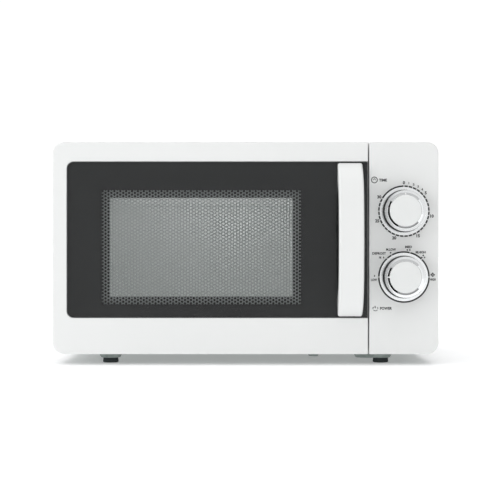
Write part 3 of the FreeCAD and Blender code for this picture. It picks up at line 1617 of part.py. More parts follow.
def latch_body():
    """Moulded bracket: wall behind the front plate, floors under the hooks, sides round the switches."""
    w = latch_wall
    y = (plate_back, switch_front + switch_size[1])
    spine = block((hook_slot_range()[1], latch_right), (plate_back, plate_back + w), latch_z)
    web = block((latch_right - w, latch_right), y, latch_z)
    parts = [spine, web]
    for low in (upper_hook_z, lower_hook_z):
        parts.append(
            block(
                (hook_slot_range()[0], latch_right),
                (plate_back, hook_tip_y + 1),
                (low - near - w, low - near),
            )
        )
    for low in (switch_places()[0][1], switch_places()[2][1]):
        parts.append(block((switch_x[0], latch_right), (switch_front + 2, y[1]), (low - w, low)))
    parts.append(block((switch_x[1], latch_right), (y[1] - 4, y[1]), latch_z))
    shape = united(parts)
    return drilled(shape, [screw_hole((latch_screw_x, plate_back, pz), Y, 8) for pz in latch_screw_heights])


def switch_body(plunger_z, low):
    y = (switch_front, switch_front + switch_size[1])
    body = block(switch_x, y, (low, low + switch_size[2]))
    bore = rod(plunger_radius + running, (hook_x, y[0] - 1, plunger_z), (hook_x, y[0] + 6, plunger_z))
    tabs = [
        block(
            about(hook_x, 0.4), (y[1] - 0.5, y[1] + switch_tab), (low + 2 + 9 * k, low + 6 + 9 * k)
        ) for k in range(3)
    ]
    return united([body] + tabs).cut(bore)


def microswitches():
    return group([switch_body(*place) for place in switch_places()])


def plunger(z):
    return rod(
        plunger_radius,
        (hook_x, hook_tip_y + near, z),
        (hook_x, switch_front + 6 - plunger_travel - near, z),
    )


def upper_plunger():
    return plunger(switch_places()[0][0])


def lower_plungers():
    return group([plunger(height) for height, _ in switch_places()[1:]])


def chassis_screws():
    """Screws of the hinges, latch bracket, control panel, motors, switches and transformer."""
    solids = []
    for pz in hinge_screw_heights():
        solids.append(screw((hinge_screw_x, plate_back + 1.5, pz), -Y, 2.0, 1.9, small_head, 1.8))
    for pz in latch_screw_heights:
        solids.append(
            screw(
                (latch_screw_x, plate_back + latch_wall, pz),
                -Y,
                latch_wall + frame_sheet,
                1.9,
                small_head,
                1.8,
            )
        )
    for px, pz in panel_screws:
        solids.append(screw((px, plate_back, pz), -Y, 9, 1.9, small_head, 1.8))
    for px, pz in dial_screws:
        solids.append(screw((px, switch_y + 1.5, pz), -Y, 1.5 + dial_screw_bite, 1.5, 2.6, 1.4))
    for side in (-1, 1):
        solids.append(
            screw(
                (cav_mid + side * motor_screw_reach, cav_centre_y, motor_top - 1.2), Z, 2.6, 1.5, 2.8, 1.5
            )
        )
        for sy in (-1, 1):
            at = (
                transformer_x + side * transformer_bolt_x, transformer_y + sy * transformer_bolt_y, core_low
            )
            solids.append(screw(at, -Z, core_low - base_low + 1, 2.4, 4.4, 3.0))
    solids.append(screw((transformer_x + clamp_screw_x, capacitor_y, base_top + 1), -Z, 3.5))
    for x, z in fan_screw_places:
        solids.append(screw((x, rear_y[1], z), -Y, frame_sheet + 8, 1.5, 0.1 + 2.6, 0.7))
    return group(solids)


nodes = {
    "outer_cabinet": outer_cabinet,
    "base_plate": base_plate,
    "feet": feet,
    "rear_panel": rear_panel,
    "cord_bush": cord_bush,
    "cabinet_screws": cabinet_screws,
    "chassis_screws": chassis_screws,
    "front_plate": front_plate,
    "door_hinges": door_hinges,
    "cavity_wrapper": cavity_wrapper,
    "cavity_floor": cavity_floor,
    "cavity_back": cavity_back,
    "glass_tray": glass_tray,
    "turntable_coupler": turntable_coupler,
    "turntable_motor": turntable_motor,
    "roller_ring": roller_ring,
    "waveguide_cover": waveguide_cover,
    "waveguide": waveguide,
    "magnetron_yoke": magnetron_yoke,
    "magnetron_core": magnetron_core,
    "magnetron_fins": magnetron_fins,
    "filter_box": filter_box,
    "oven_lamp": oven_lamp,
    "air_duct": air_duct,
    "thermal_cutouts": thermal_cutouts,
    "transformer_core": transformer_core,
    "transformer_windings": transformer_windings,
    "hv_capacitor": hv_capacitor,
    "capacitor_clamp": capacitor_clamp,
    "hv_diode": hv_diode,
    "fan_shroud": fan_shroud,
    "fan_motor": fan_motor,
    "fan_wheel": fan_wheel,
    "filter_board": filter_board,
    "control_panel": control_panel,
    "timer_knob": lambda: knob(timer_z, 90.0),
    "timer_knob_cap": lambda: knob_cap(timer_z),
    "timer_shaft": lambda: dial_shaft(timer_z, timer_depth),
    "timer_switch": timer_switch,
    "power_knob": lambda: knob(power_z, 180.0),
    "power_knob_cap": lambda: knob_cap(power_z),
    "power_shaft": lambda: dial_shaft(power_z, selector_depth),
    "power_selector": power_selector,
    "door_frame": door_frame,
    "door_screen": door_screen,
    "door_handle": door_handle,
    "door_screws": door_screws,
    "door_panel": door_panel,
    "choke_cover": choke_cover,
    "window_tape": window_tape,
    "inner_window": inner_window,
    "latch_hook": latch_hook,
    "latch_spring": latch_spring,
    "latch_body": latch_body,
    "microswitches": microswitches,
    "upper_plunger": upper_plunger,
    "lower_plungers": lower_plungers,
}
for number, angle in enumerate(roller_angles, 1):
    nodes[f"roller_{number}"] = lambda angle=angle: roller(angle)

os.makedirs("parts", exist_ok=True)
for name, make in nodes.items():
    make().exportStep(f"parts/{name}.step")
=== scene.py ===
import math

import bmesh
import bpy
from mathutils import Matrix, Vector


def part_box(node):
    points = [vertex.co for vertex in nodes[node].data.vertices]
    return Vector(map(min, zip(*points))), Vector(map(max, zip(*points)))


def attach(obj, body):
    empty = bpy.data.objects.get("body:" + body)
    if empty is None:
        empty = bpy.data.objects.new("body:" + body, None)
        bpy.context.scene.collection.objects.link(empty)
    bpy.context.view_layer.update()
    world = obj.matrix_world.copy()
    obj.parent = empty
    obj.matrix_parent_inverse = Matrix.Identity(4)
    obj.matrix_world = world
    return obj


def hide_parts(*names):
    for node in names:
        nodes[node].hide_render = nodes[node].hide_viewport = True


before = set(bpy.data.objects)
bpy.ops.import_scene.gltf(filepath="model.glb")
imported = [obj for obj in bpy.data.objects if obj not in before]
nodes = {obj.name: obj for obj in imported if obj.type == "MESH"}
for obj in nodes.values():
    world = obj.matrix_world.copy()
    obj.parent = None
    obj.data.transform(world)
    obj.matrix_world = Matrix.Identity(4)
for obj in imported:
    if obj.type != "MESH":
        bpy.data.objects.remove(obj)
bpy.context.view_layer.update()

MM = 0.001
scene = bpy.context.scene


# ---- colours and nodes ----
def linear(hex_colour):
    """Linear colour of an sRGB hex value."""
    parts = [int(hex_colour[i : i + 2], 16) / 255 for i in (1, 3, 5)]
    return [c / 12.92 if c <= 0.04045 else ((c + 0.055) / 1.055) ** 2.4 for c in parts] + [1.0]


def add(tree, kind, inputs=None, **settings):
    """New node with its settings; an input given as a socket is linked, any other is set."""
    node = tree.nodes.new(kind)
    for name, value in settings.items():
        setattr(node, name, value)
    for name, value in (inputs or {}).items():
        if isinstance(value, bpy.types.NodeSocket):
            tree.links.new(value, node.inputs[name])
        else:
            node.inputs[name].default_value = value
    return node


def per(size_mm):
    """Texture scale that repeats once in size_mm."""
    return 1000.0 / size_mm


def finish(name, colour, roughness, metallic=0.0, ior=1.5, **more):
    """Material with one surface shader, and its tree and shader for patterns."""
    material = bpy.data.materials.new(name)
    material.use_nodes = True
    tree = material.node_tree
    tree.nodes.clear()
    settings = {
        "Base Color": linear(colour),
        "Roughness": roughness,
        "Metallic": metallic,
        "IOR": ior,
        **more,
    }
    shader = add(tree, "ShaderNodeBsdfPrincipled", settings)
    add(tree, "ShaderNodeOutputMaterial", {"Surface": shader.outputs["BSDF"]})
    return material, tree, shader


def surface(tree):
    return add(tree, "ShaderNodeTexCoord").outputs["Object"]


def cloudy(tree, shader, size_mm, colours, roughness, detail=3.0):
    """Slow change of colour and gloss over a surface, in patches of size_mm."""
    noise = add(
        tree,
        "ShaderNodeTexNoise",
        {"Vector": surface(tree), "Scale": per(size_mm), "Detail": detail, "Roughness": 0.6},
    )
    mix = add(tree, "ShaderNodeMix", {"Factor": noise.outputs["Fac"]}, data_type="RGBA")
    # a mix node's colour sockets share their names with its other sockets, so they are set by place
    mix.inputs[6].default_value = linear(colours[0])
    mix.inputs[7].default_value = linear(colours[1])
    gloss = add(
        tree,
        "ShaderNodeMapRange",
        {
            "Value": noise.outputs["Fac"],
            "From Min": 0.3,
            "From Max": 0.7,
            "To Min": roughness[0],
            "To Max": roughness[1],
        },
    )
    tree.links.new(mix.outputs[2], shader.inputs["Base Color"])
    tree.links.new(gloss.outputs["Result"], shader.inputs["Roughness"])


def rippled(tree, shader, size_mm, depth_mm, strength=0.5, detail=1.0):
    """Fine relief, in waves of size_mm."""
    relief = add(
        tree,
        "ShaderNodeTexNoise",
        {"Vector": surface(tree), "Scale": per(size_mm), "Detail": detail},
    )
    bump = add(
        tree,
        "ShaderNodeBump",
        {"Height": relief.outputs["Fac"], "Strength": strength, "Distance": depth_mm * MM},
    )
    tree.links.new(bump.outputs["Normal"], shader.inputs["Normal"])


def spangled(tree, shader, size_mm, colours, roughness):
    """Crystal flowers of hot-dip zinc, each with its own shade and gloss."""
    cells = add(tree, "ShaderNodeTexVoronoi", {"Vector": surface(tree), "Scale": per(size_mm)})
    shade = add(tree, "ShaderNodeSeparateColor", {"Color": cells.outputs["Color"]})
    mix = add(tree, "ShaderNodeMix", {"Factor": shade.outputs["Red"]}, data_type="RGBA")
    mix.inputs[6].default_value = linear(colours[0])
    mix.inputs[7].default_value = linear(colours[1])
    gloss = add(
        tree,
        "ShaderNodeMapRange",
        {"Value": shade.outputs["Green"], "To Min": roughness[0], "To Max": roughness[1]},
    )
    tree.links.new(mix.outputs[2], shader.inputs["Base Color"])
    tree.links.new(gloss.outputs["Result"], shader.inputs["Roughness"])


# ---- finishes ----
finishes = {}

# Moulded white ABS: bright, glossy, with the faint unevenness of a polished mould.
material, tree, shader = finish("moulded_white_abs", "#e9ecea", 0.3, ior=1.53)
cloudy(tree, shader, 60.0, ("#e9ebea", "#ecedec"), (0.28, 0.33))
rippled(tree, shader, 9.0, 0.02, 0.2)
finishes["white_abs"] = material

# Powder-coated steel: white and satin, with the shallow dimples called orange peel.
material, tree, shader = finish("powder_coated_steel", "#dcdfdd", 0.42, ior=1.52)
cloudy(tree, shader, 120.0, ("#dadddb", "#dfe1e0"), (0.4, 0.45))
rippled(tree, shader, 1.8, 0.04, 0.35)
finishes["cabinet_paint"] = material

# Hot-dip galvanised steel: grey metal with spangle, drawn as coarse as it needs to show.
material, tree, shader = finish("galvanised_sheet_steel", "#a4aeaa", 0.42, metallic=1.0)
spangled(tree, shader, 6.0, ("#9fa8a5", "#b0b8b5"), (0.4, 0.47))
finishes["galvanised_steel"] = material

# Sprayed cavity enamel: pale grey, glossy, easy to wipe.
material, tree, shader = finish("sprayed_cavity_enamel", "#d9dcda", 0.32, ior=1.52)
cloudy(tree, shader, 40.0, ("#d5d8d6", "#dee0df"), (0.29, 0.38))
rippled(tree, shader, 2.5, 0.03, 0.3)
finishes["cavity_enamel"] = material

# Smoked acrylic: its two faces together let a little over half of the light through, and its
# index is raised so that so thin a cover keeps a full pane's gloss.
material, tree, shader = finish("smoked_acrylic_sheet", "#0d0e0e", 0.05, ior=1.95, Alpha=0.25)
cloudy(tree, shader, 90.0, ("#0c0d0d", "#0f1010"), (0.04, 0.065))
finishes["smoked_screen"] = material

# Painted door steel: grey, satin.
material, tree, shader = finish("painted_door_steel", "#a6acab", 0.45)
cloudy(tree, shader, 50.0, ("#a1a7a6", "#aab0af"), (0.42, 0.48))
rippled(tree, shader, 1.5, 0.03, 0.3)
finishes["door_steel"] = material

# Moulded polypropylene: grey, with a fine spark-eroded grain.
material, tree, shader = finish("moulded_grey_polypropylene", "#c2c4c4", 0.5)
cloudy(tree, shader, 30.0, ("#bdbfbf", "#c7c9c9"), (0.42, 0.58))
rippled(tree, shader, 0.8, 0.04, 0.4)
finishes["choke_plastic"] = material

# Clear polyester pane: glossy, with faint smears where it has been wiped.
material, tree, shader = finish("clear_polyester_pane", "#e6eceb", 0.04, ior=1.6, Alpha=0.05)
cloudy(tree, shader, 60.0, ("#e3eae8", "#e9eeed"), (0.03, 0.09))
finishes["clear_pane"] = material

# Black foam tape.
material, tree, shader = finish("black_foam_tape", "#242626", 0.85)
cloudy(tree, shader, 12.0, ("#202222", "#292b2b"), (0.75, 0.95))
rippled(tree, shader, 0.6, 0.05, 0.6)
finishes["black_tape"] = material

# Chrome plated over ABS: a clean mirror, a little hazed.
material, tree, shader = finish("chrome_plated_abs", "#eef0f1", 0.08, metallic=1.0)
cloudy(tree, shader, 15.0, ("#eceeef", "#f1f3f4"), (0.06, 0.11))
finishes["knob_chrome"] = material

# White knob insert, moulded and polished.
material, tree, shader = finish("polished_white_insert", "#e6e8e7", 0.2, ior=1.53)
cloudy(tree, shader, 25.0, ("#e5e7e6", "#e8eae9"), (0.16, 0.24))
finishes["knob_white"] = material

# Pad-printed ink.
material, tree, shader = finish("pad_printed_ink", "#17191a", 0.5)
cloudy(tree, shader, 3.0, ("#121415", "#1d2021"), (0.42, 0.58))
finishes["dial_print"] = material

# Screen-printed ink on the back of the pane: charcoal and flat.
material, tree, shader = finish("screen_printed_ink", "#2a2d2e", 0.6)
cloudy(tree, shader, 40.0, ("#282b2c", "#2c2f30"), (0.55, 0.65))
finishes["screen ink"] = material

# Hot-stamped silver foil: a soft mirror.
material, tree, shader = finish("hot_stamped_silver_foil", "#f4f6f7", 0.16, metallic=1.0)
cloudy(tree, shader, 8.0, ("#f0f3f4", "#f7f9f9"), (0.13, 0.2))
finishes["foil"] = material

# Matt black on the knob's moulded ribs, with next to no shine even seen along it: a painted dark
# reflection, standing in for the dark band that the chrome side of the knob mirrors.
material, tree, shader = finish(
    "ribs_painted_dark_reflection", "#0f1314", 0.5, **{"Specular IOR Level": 0.1}
)
cloudy(tree, shader, 6.0, ("#0c1011", "#131819"), (0.42, 0.58))
finishes["painted_dark_reflection"] = material

# Black rubber.
material, tree, shader = finish("moulded_black_rubber", "#31383a", 0.8)
cloudy(tree, shader, 6.0, ("#2b3233", "#393f41"), (0.7, 0.9))
rippled(tree, shader, 0.7, 0.05, 0.5)
finishes["foot_rubber"] = material

# Pressed soda-lime glass: faint green, with soft waves from the mould.
material, tree, shader = finish("pressed_soda_glass", "#cfe3dc", 0.05, ior=1.52, Alpha=0.2)
cloudy(tree, shader, 45.0, ("#cbe1d9", "#d3e5df"), (0.03, 0.08))
rippled(tree, shader, 22.0, 0.3, 0.4)
finishes["tray_glass"] = material

# Natural nylon: milky, with a soft sheen.
material, tree, shader = finish("moulded_natural_nylon", "#e9e8e2", 0.4)
cloudy(tree, shader, 10.0, ("#e5e4dd", "#edece7"), (0.34, 0.48))
finishes["roller_nylon"] = material

# Zinc-plated steel: bright blue-grey screws.
material, tree, shader = finish("zinc_plated_screw_steel", "#c3c4c0", 0.3, metallic=1.0)
cloudy(tree, shader, 2.0, ("#b6b8b5", "#cfd0cb"), (0.22, 0.38))
finishes["zinc_screws"] = material

# Mica board: pearly beige flakes in a binder.
material, tree, shader = finish("pressed_mica_board", "#b9ad93", 0.5)
cloudy(tree, shader, 4.0, ("#a99c80", "#cbc0a8"), (0.35, 0.6), 8.0)
rippled(tree, shader, 2.0, 0.04, 0.5)
finishes["mica_sheet"] = material

# Black moulded thermoset.
material, tree, shader = finish("moulded_black_thermoset", "#1b1b1b", 0.45)
cloudy(tree, shader, 8.0, ("#171717", "#202020"), (0.38, 0.55))
rippled(tree, shader, 0.7, 0.03, 0.4)
finishes["black_plastic"] = material

# Mill-finished aluminium: pale, with the streaks of the rolling mill.
material, tree, shader = finish("mill_finished_aluminium", "#d3d5d7", 0.35, metallic=1.0)
stretch = add(
    tree,
    "ShaderNodeMapping",
    {"Vector": surface(tree), "Scale": (per(1.0), per(20.0), per(20.0))},
)
streaks = add(
    tree,
    "ShaderNodeTexNoise",
    {"Vector": stretch.outputs["Vector"], "Scale": 1.0, "Detail": 2.0},
)
gloss = add(
    tree,
    "ShaderNodeMapRange",
    {"Value": streaks.outputs["Fac"], "To Min": 0.25, "To Max": 0.48},
)
tree.links.new(gloss.outputs["Result"], shader.inputs["Roughness"])
finishes["aluminium_sheet"] = material

# Varnished core steel: brown-black plates under lacquer; the plates are drawn 2 mm thick to show.
waves_per_unit = 20  # waves that a wave texture draws in one unit of its scale
material, tree, shader = finish("varnished_core_laminations", "#3b3431", 0.4, metallic=0.6)
plates = add(
    tree,
    "ShaderNodeTexWave",
    {"Vector": surface(tree), "Scale": per(2.0) / waves_per_unit, "Distortion": 0.2},
    bands_direction="Y",
)
bump = add(
    tree,
    "ShaderNodeBump",
    {"Height": plates.outputs["Fac"], "Strength": 0.5, "Distance": 0.2 * MM},
)
cloudy(tree, shader, 10.0, ("#332d2b", "#463f3a"), (0.32, 0.5))
tree.links.new(bump.outputs["Normal"], shader.inputs["Normal"])
finishes["core_steel"] = material

# Enamelled copper wire, wound in layers; the turns are drawn 2 mm apart to show.
material, tree, shader = finish("enamelled_copper_wire", "#8a4a24", 0.35, metallic=0.8)
turns = add(
    tree,
    "ShaderNodeTexWave",
    {"Vector": surface(tree), "Scale": per(2.0) / waves_per_unit, "Distortion": 0.3},
    bands_direction="Z",
)
bump = add(
    tree,
    "ShaderNodeBump",
    {"Height": turns.outputs["Fac"], "Strength": 0.7, "Distance": 0.4 * MM},
)
cloudy(tree, shader, 6.0, ("#7b3f1e", "#98552b"), (0.28, 0.45))
tree.links.new(bump.outputs["Normal"], shader.inputs["Normal"])
finishes["copper_wire"] = material

# Moulded fan plastic: off-white, satin.
material, tree, shader = finish("moulded_fan_polyester", "#d8d7cf", 0.5)
cloudy(tree, shader, 20.0, ("#d3d2c9", "#dddcd5"), (0.42, 0.58))
rippled(tree, shader, 1.0, 0.03, 0.3)
finishes["fan_plastic"] = material

# Paper-phenolic board.
material, tree, shader = finish("phenolic_circuit_board", "#a17c45", 0.45)
cloudy(tree, shader, 5.0, ("#977340", "#ab864e"), (0.38, 0.55))
finishes["board_laminate"] = material

# Natural acetal: waxy white.
material, tree, shader = finish("moulded_natural_acetal", "#e7e7e3", 0.32)
cloudy(tree, shader, 8.0, ("#e3e3de", "#ebebe8"), (0.26, 0.38))
finishes["acetal"] = material

# Drawn spring steel.
material, tree, shader = finish("drawn_spring_steel", "#a6a8aa", 0.28, metallic=1.0)
cloudy(tree, shader, 2.0, ("#999b9e", "#b2b4b6"), (0.22, 0.36))
finishes["spring_steel"] = material

# Blown lamp glass: clear, a little uneven.
material, tree, shader = finish("blown_lamp_glass", "#f3f3ec", 0.05, ior=1.5, Alpha=0.4)
cloudy(tree, shader, 6.0, ("#f0f0e8", "#f6f6f0"), (0.03, 0.08))
finishes["lamp_glass"] = material

for node in nodes.values():
    for place in node.material_slots:
        place.material = finishes[place.material.name.split(".")[0]]


# ---- shapes ----
merge_reach = 0.001 * MM
weld_reach = 0.002 * MM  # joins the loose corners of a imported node
cut_reach = 1e-7  # a corner this near a cutting plane counts as on it


def piece(name, bm, body, slot, *replaced, coat=None, smooth=True, sharp=40.0):
    """Finished piece from a mesh in metres, in its place."""
    bmesh.ops.recalc_face_normals(bm, faces=bm.faces)
    for face in bm.faces:
        face.smooth = smooth
    for edge in bm.edges:
        if len(edge.link_faces) == 2 and edge.calc_face_angle(0.0) > math.radians(sharp):
            edge.smooth = False
    mesh = bpy.data.meshes.new(name)
    bm.to_mesh(mesh)
    bm.free()
    mesh.materials.append(finishes[coat or slot])
    obj = bpy.data.objects.new(name, mesh)
    scene.collection.objects.link(obj)
    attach(obj, body)
    if replaced:
        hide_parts(*replaced)
    if smooth:
        shading = obj.modifiers.new("even shading", "WEIGHTED_NORMAL")
        shading.keep_sharp = True
    return obj


def merged(node):
    """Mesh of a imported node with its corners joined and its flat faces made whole."""
    bm = bmesh.new()
    bm.from_mesh(nodes[node].data)
    bmesh.ops.remove_doubles(bm, verts=bm.verts, dist=weld_reach)
    bmesh.ops.dissolve_limit(
        bm,
        angle_limit=math.radians(0.5),
        verts=bm.verts,
        edges=bm.edges,
        use_dissolve_boundaries=False,
    )
    return bm


def soften(bm, width, angle=40.0, segments=2, choose=None):
    """Round the edges that turn by more than angle."""
    edges = [
        e
        for e in bm.edges
        if len(e.link_faces) == 2
        and e.calc_face_angle(0.0) > math.radians(angle)
        and (not choose or choose(e))
    ]
    bmesh.ops.bevel(
        bm,
        geom=edges,
        offset=width,
        offset_type="OFFSET",
        segments=segments,
        profile=0.5,
        affect="EDGES",
        material=-1,
        clamp_overlap=False,
    )
    bmesh.ops.dissolve_degenerate(bm, dist=merge_reach, edges=bm.edges)


def lathe(profile, centre, axis, steps=96):
    """Turned shape: profile is (radius, distance along axis) in metres, from centre."""
    bm = bmesh.new()
    verts = [bm.verts.new((r, 0, h)) for r, h in profile]
    edges = [bm.edges.new(pair) for pair in zip(verts, verts[1:])]
    bmesh.ops.spin(
        bm,
        geom=verts + edges,
        cent=(0, 0, 0),
        axis=(0, 0, 1),
        angle=math.tau,
        steps=steps,
        use_merge=True,
        use_duplicate=False,
    )
    bmesh.ops.remove_doubles(bm, verts=bm.verts, dist=merge_reach)
    turn = Vector((0, 0, 1)).rotation_difference(Vector(axis)).to_matrix().to_4x4()
    bmesh.ops.transform(bm, matrix=Matrix.Translation(centre) @ turn, verts=bm.verts)
    return bm


# ---- door: surround, screen, printed border ----
frame_low, frame_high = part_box("door_frame")
screen_low, screen_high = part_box("door_screen")
panel_low, panel_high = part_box("control_panel")
sheet_low, sheet_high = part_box("door_panel")
tape_low, tape_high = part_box("window_tape")
window_margin = 12.0 * MM  # the tape reaches this far round the printed window
field_low = Vector((tape_low.x + window_margin, 0, tape_low.z + window_margin))
field_high = Vector((tape_high.x - window_margin, 0, tape_high.z - window_margin))
print_thick = 0.1 * MM
print_gap = 0.05 * MM
print_room = 0.2 * MM  # the pane is this much thinner here, for the ink on its back
print_inset = 0.3 * MM
print_corner = 8.0 * MM
edge_round = 0.4 * MM
short_edge = 1.5 * MM  # edges up to this length stay sharp


def slab(low, high):
    bm = bmesh.new()
    bmesh.ops.create_cube(bm, size=1.0)
    size, mid = Vector(high) - Vector(low), (Vector(low) + Vector(high)) / 2
    place = Matrix.Translation(mid) @ Matrix.Diagonal((*size, 1))
    bmesh.ops.transform(bm, matrix=place, verts=bm.verts)
    return bm


def corners_of(geom):
    return [g for g in geom if isinstance(g, bmesh.types.BMVert)]


def thicken(bm, depth):
    """Give a flat shape that faces the front its thickness, towards the back."""
    for f in bm.faces:
        if f.normal.y > 0:
            f.normal_flip()
    made = bmesh.ops.extrude_face_region(bm, geom=bm.faces[:], use_keep_orig=True)["geom"]
    bmesh.ops.translate(bm, vec=(0, depth, 0), verts=corners_of(made))


def drawn(maker):
    """Mesh of a helper object with its modifiers or lettering worked out; the helper goes."""
    bpy.context.view_layer.update()
    graph = bpy.context.evaluated_depsgraph_get()
    mesh = bpy.data.meshes.new_from_object(maker.evaluated_get(graph))
    bpy.data.objects.remove(maker)
    return mesh


def cut_window(bm, low, high):
    """Rectangular opening right through a slab that faces the front, its rims closed."""
    for at, normal in (
        ((low.x, 0, 0), (1, 0, 0)),
        ((high.x, 0, 0), (1, 0, 0)),
        ((0, 0, low.z), (0, 0, 1)),
        ((0, 0, high.z), (0, 0, 1)),
    ):
        whole = bm.verts[:] + bm.edges[:] + bm.faces[:]
        bmesh.ops.bisect_plane(bm, geom=whole, plane_co=at, plane_no=normal, dist=cut_reach)
    inside = [
        f
        for f in bm.faces
        if abs(f.normal.y) > 0.9
        and low.x < f.calc_center_median().x < high.x
        and low.z < f.calc_center_median().z < high.z
    ]
    bmesh.ops.delete(bm, geom=inside, context="FACES")
    rims = [e for e in bm.edges if len(e.link_faces) == 1]
    bmesh.ops.bridge_loops(bm, edges=rims)


def border_of_print():
    y = screen_high.y - print_room + print_gap
    bm = slab(
        (screen_low.x + print_inset, y, screen_low.z + print_inset),
        (screen_high.x - print_inset, y + print_thick, screen_high.z - print_inset),
    )
    left = [
        e
        for e in bm.edges
        if abs(e.verts[0].co.y - e.verts[1].co.y) > print_thick / 2 and e.verts[0].co.x < 0
    ]
    bmesh.ops.bevel(
        bm,
        geom=left,
        offset=print_corner,
        segments=12,
        profile=0.5,
        affect="EDGES",
        material=-1,
    )
    cut_window(bm, field_low, field_high)
    return bm


def soften_front(bm, back_y):
    """Round the long edges that lie in front of back_y."""
    soften(
        bm,
        edge_round,
        choose=lambda e: e.calc_length() > short_edge and max(v.co.y for v in e.verts) < back_y,
    )


bm = merged("door_frame")
soften_front(bm, screen_high.y)
piece("door_surround", bm, "door", "white_abs", "door_frame")
bm = merged("door_screen")
middle_y = (screen_low.y + screen_high.y) / 2
bmesh.ops.translate(
    bm, vec=(0, -print_room, 0), verts=[v for v in bm.verts if v.co.y > middle_y]
)
piece("screen_pane", bm, "door", "smoked_screen", "door_screen")
bm = border_of_print()
piece("screen_border_print", bm, "door", "dial_print", coat="screen ink", smooth=False)


# ---- door: pressed panel with its perforated field ----
hole_pitch = 4.0 * MM  # real ones are about 2.4 mm apart; drawn this coarse to show
hole_share = 0.67  # width of a hole, as a share of the pitch
sheet_thick = 0.8 * MM
sheet_back = tape_low.y
sheet_front = sheet_back - sheet_thick
lattice_margin = 3.0 * MM  # the holes run on behind the printed border
cell_reach = 0.01 * MM  # joins the edges of neighbouring holes


def perforated_sheet():
    """Sheet of six-sided holes in staggered rows."""
    low = Vector((field_low.x - lattice_margin, 0, field_low.z - lattice_margin))
    high = Vector((field_high.x + lattice_margin, 0, field_high.z + lattice_margin))
    bm = bmesh.new()
    corner = hole_pitch / math.sqrt(3)
    bmesh.ops.create_circle(bm, cap_ends=True, segments=6, radius=corner)
    turn = -math.atan2(bm.verts[:][0].co.y, bm.verts[:][0].co.x)
    bmesh.ops.rotate(bm, cent=(0, 0, 0), matrix=Matrix.Rotation(turn, 3, "Z"), verts=bm.verts)
    web = hole_pitch * (1 - hole_share) / 2
    middle = bm.faces[:]
    bmesh.ops.inset_region(
        bm, faces=middle, thickness=web, use_even_offset=True, use_boundary=True
    )
    bmesh.ops.delete(bm, geom=middle, context="FACES")
    step = corner * 1.5
    pair = bmesh.ops.duplicate(bm, geom=bm.verts[:] + bm.edges[:] + bm.faces[:])["geom"]
    bmesh.ops.translate(bm, vec=(step, hole_pitch / 2, 0), verts=corners_of(pair))
    cell = bpy.data.meshes.new("cell")
    bm.to_mesh(cell)
    bm.free()
    maker = bpy.data.objects.new("cell", cell)
    scene.collection.objects.link(maker)
    size = high - low
    for count, offset in (
        (int(size.z / hole_pitch) + 3, (0, hole_pitch, 0)),
        (int(size.x / (2 * step)) + 3, (2 * step, 0, 0)),
    ):
        array = maker.modifiers.new("rows", "ARRAY")
        array.use_relative_offset = False
        array.use_constant_offset = True
        array.constant_offset_displace = offset
        array.count = count
    whole = drawn(maker)
    bm = bmesh.new()
    bm.from_mesh(whole)
    bmesh.ops.remove_doubles(bm, verts=bm.verts, dist=cell_reach)
    upright = Matrix.Rotation(math.radians(90), 4, "X")
    shift = Matrix.Translation((low.x - step, sheet_front, low.z - hole_pitch))
    bmesh.ops.transform(bm, matrix=shift @ upright, verts=bm.verts)
    for at, normal in (
        ((low.x, 0, 0), (-1, 0, 0)),
        ((high.x, 0, 0), (1, 0, 0)),
        ((0, 0, low.z), (0, 0, -1)),
        ((0, 0, high.z), (0, 0, 1)),
    ):
        bmesh.ops.bisect_plane(
            bm,
            geom=bm.verts[:] + bm.edges[:] + bm.faces[:],
            plane_co=at,
            plane_no=normal,
            dist=cut_reach,
            clear_outer=True,
        )
    thicken(bm, sheet_thick)
    return bm, low, high


bm, lattice_low, lattice_high = perforated_sheet()
piece("perforated_field", bm, "door", "door_steel", smooth=False)
bm = merged("door_panel")
cut_window(bm, lattice_low, lattice_high)
piece("door_pressing", bm, "door", "door_steel", "door_panel")


# ---- dials ----
pointer_angles = {"timer": 0.0, "power": 90.0}  # from the top, towards the left
round_steps = 128
knob_draft = 1.0 * MM
knob_step = 2.9 * MM  # from the crest back to the rim
knob_rim = 3.2 * MM  # the rim's flat width
seat_depth = 2.9 * MM  # of the recess that holds the insert
seat_ledge = 1.0 * MM
insert_gap = 0.1 * MM
foot_lift = 0.3 * MM
foot_outer = 1.2 * MM  # foot of the skirt, in from its outside
foot_inner = 1.8 * MM
skirt_wall = 2.0 * MM
web_depth = 4.0 * MM  # of the web's back behind the rim
web_bore = 5.0 * MM
skirt_round = 0.45 * MM
rim_lip = 0.6 * MM  # plain edge of the rim, in front of the ribs
rib_count = 90
rib_depth = 0.45 * MM
rib_root = 0.93  # inner radius of the ribbed band, as a share of its outer one
rib_gap = 0.05 * MM
insert_crown = 0.3 * MM  # how far the insert's middle stands in front of its edge
insert_bow = 0.08 * MM  # and in front of a point half-way out
insert_round = 0.5 * MM
pointer_half = 0.7 * MM
pointer_sunk = 0.3 * MM
pointer_proud = 0.06 * MM
pointer_round = 0.05 * MM


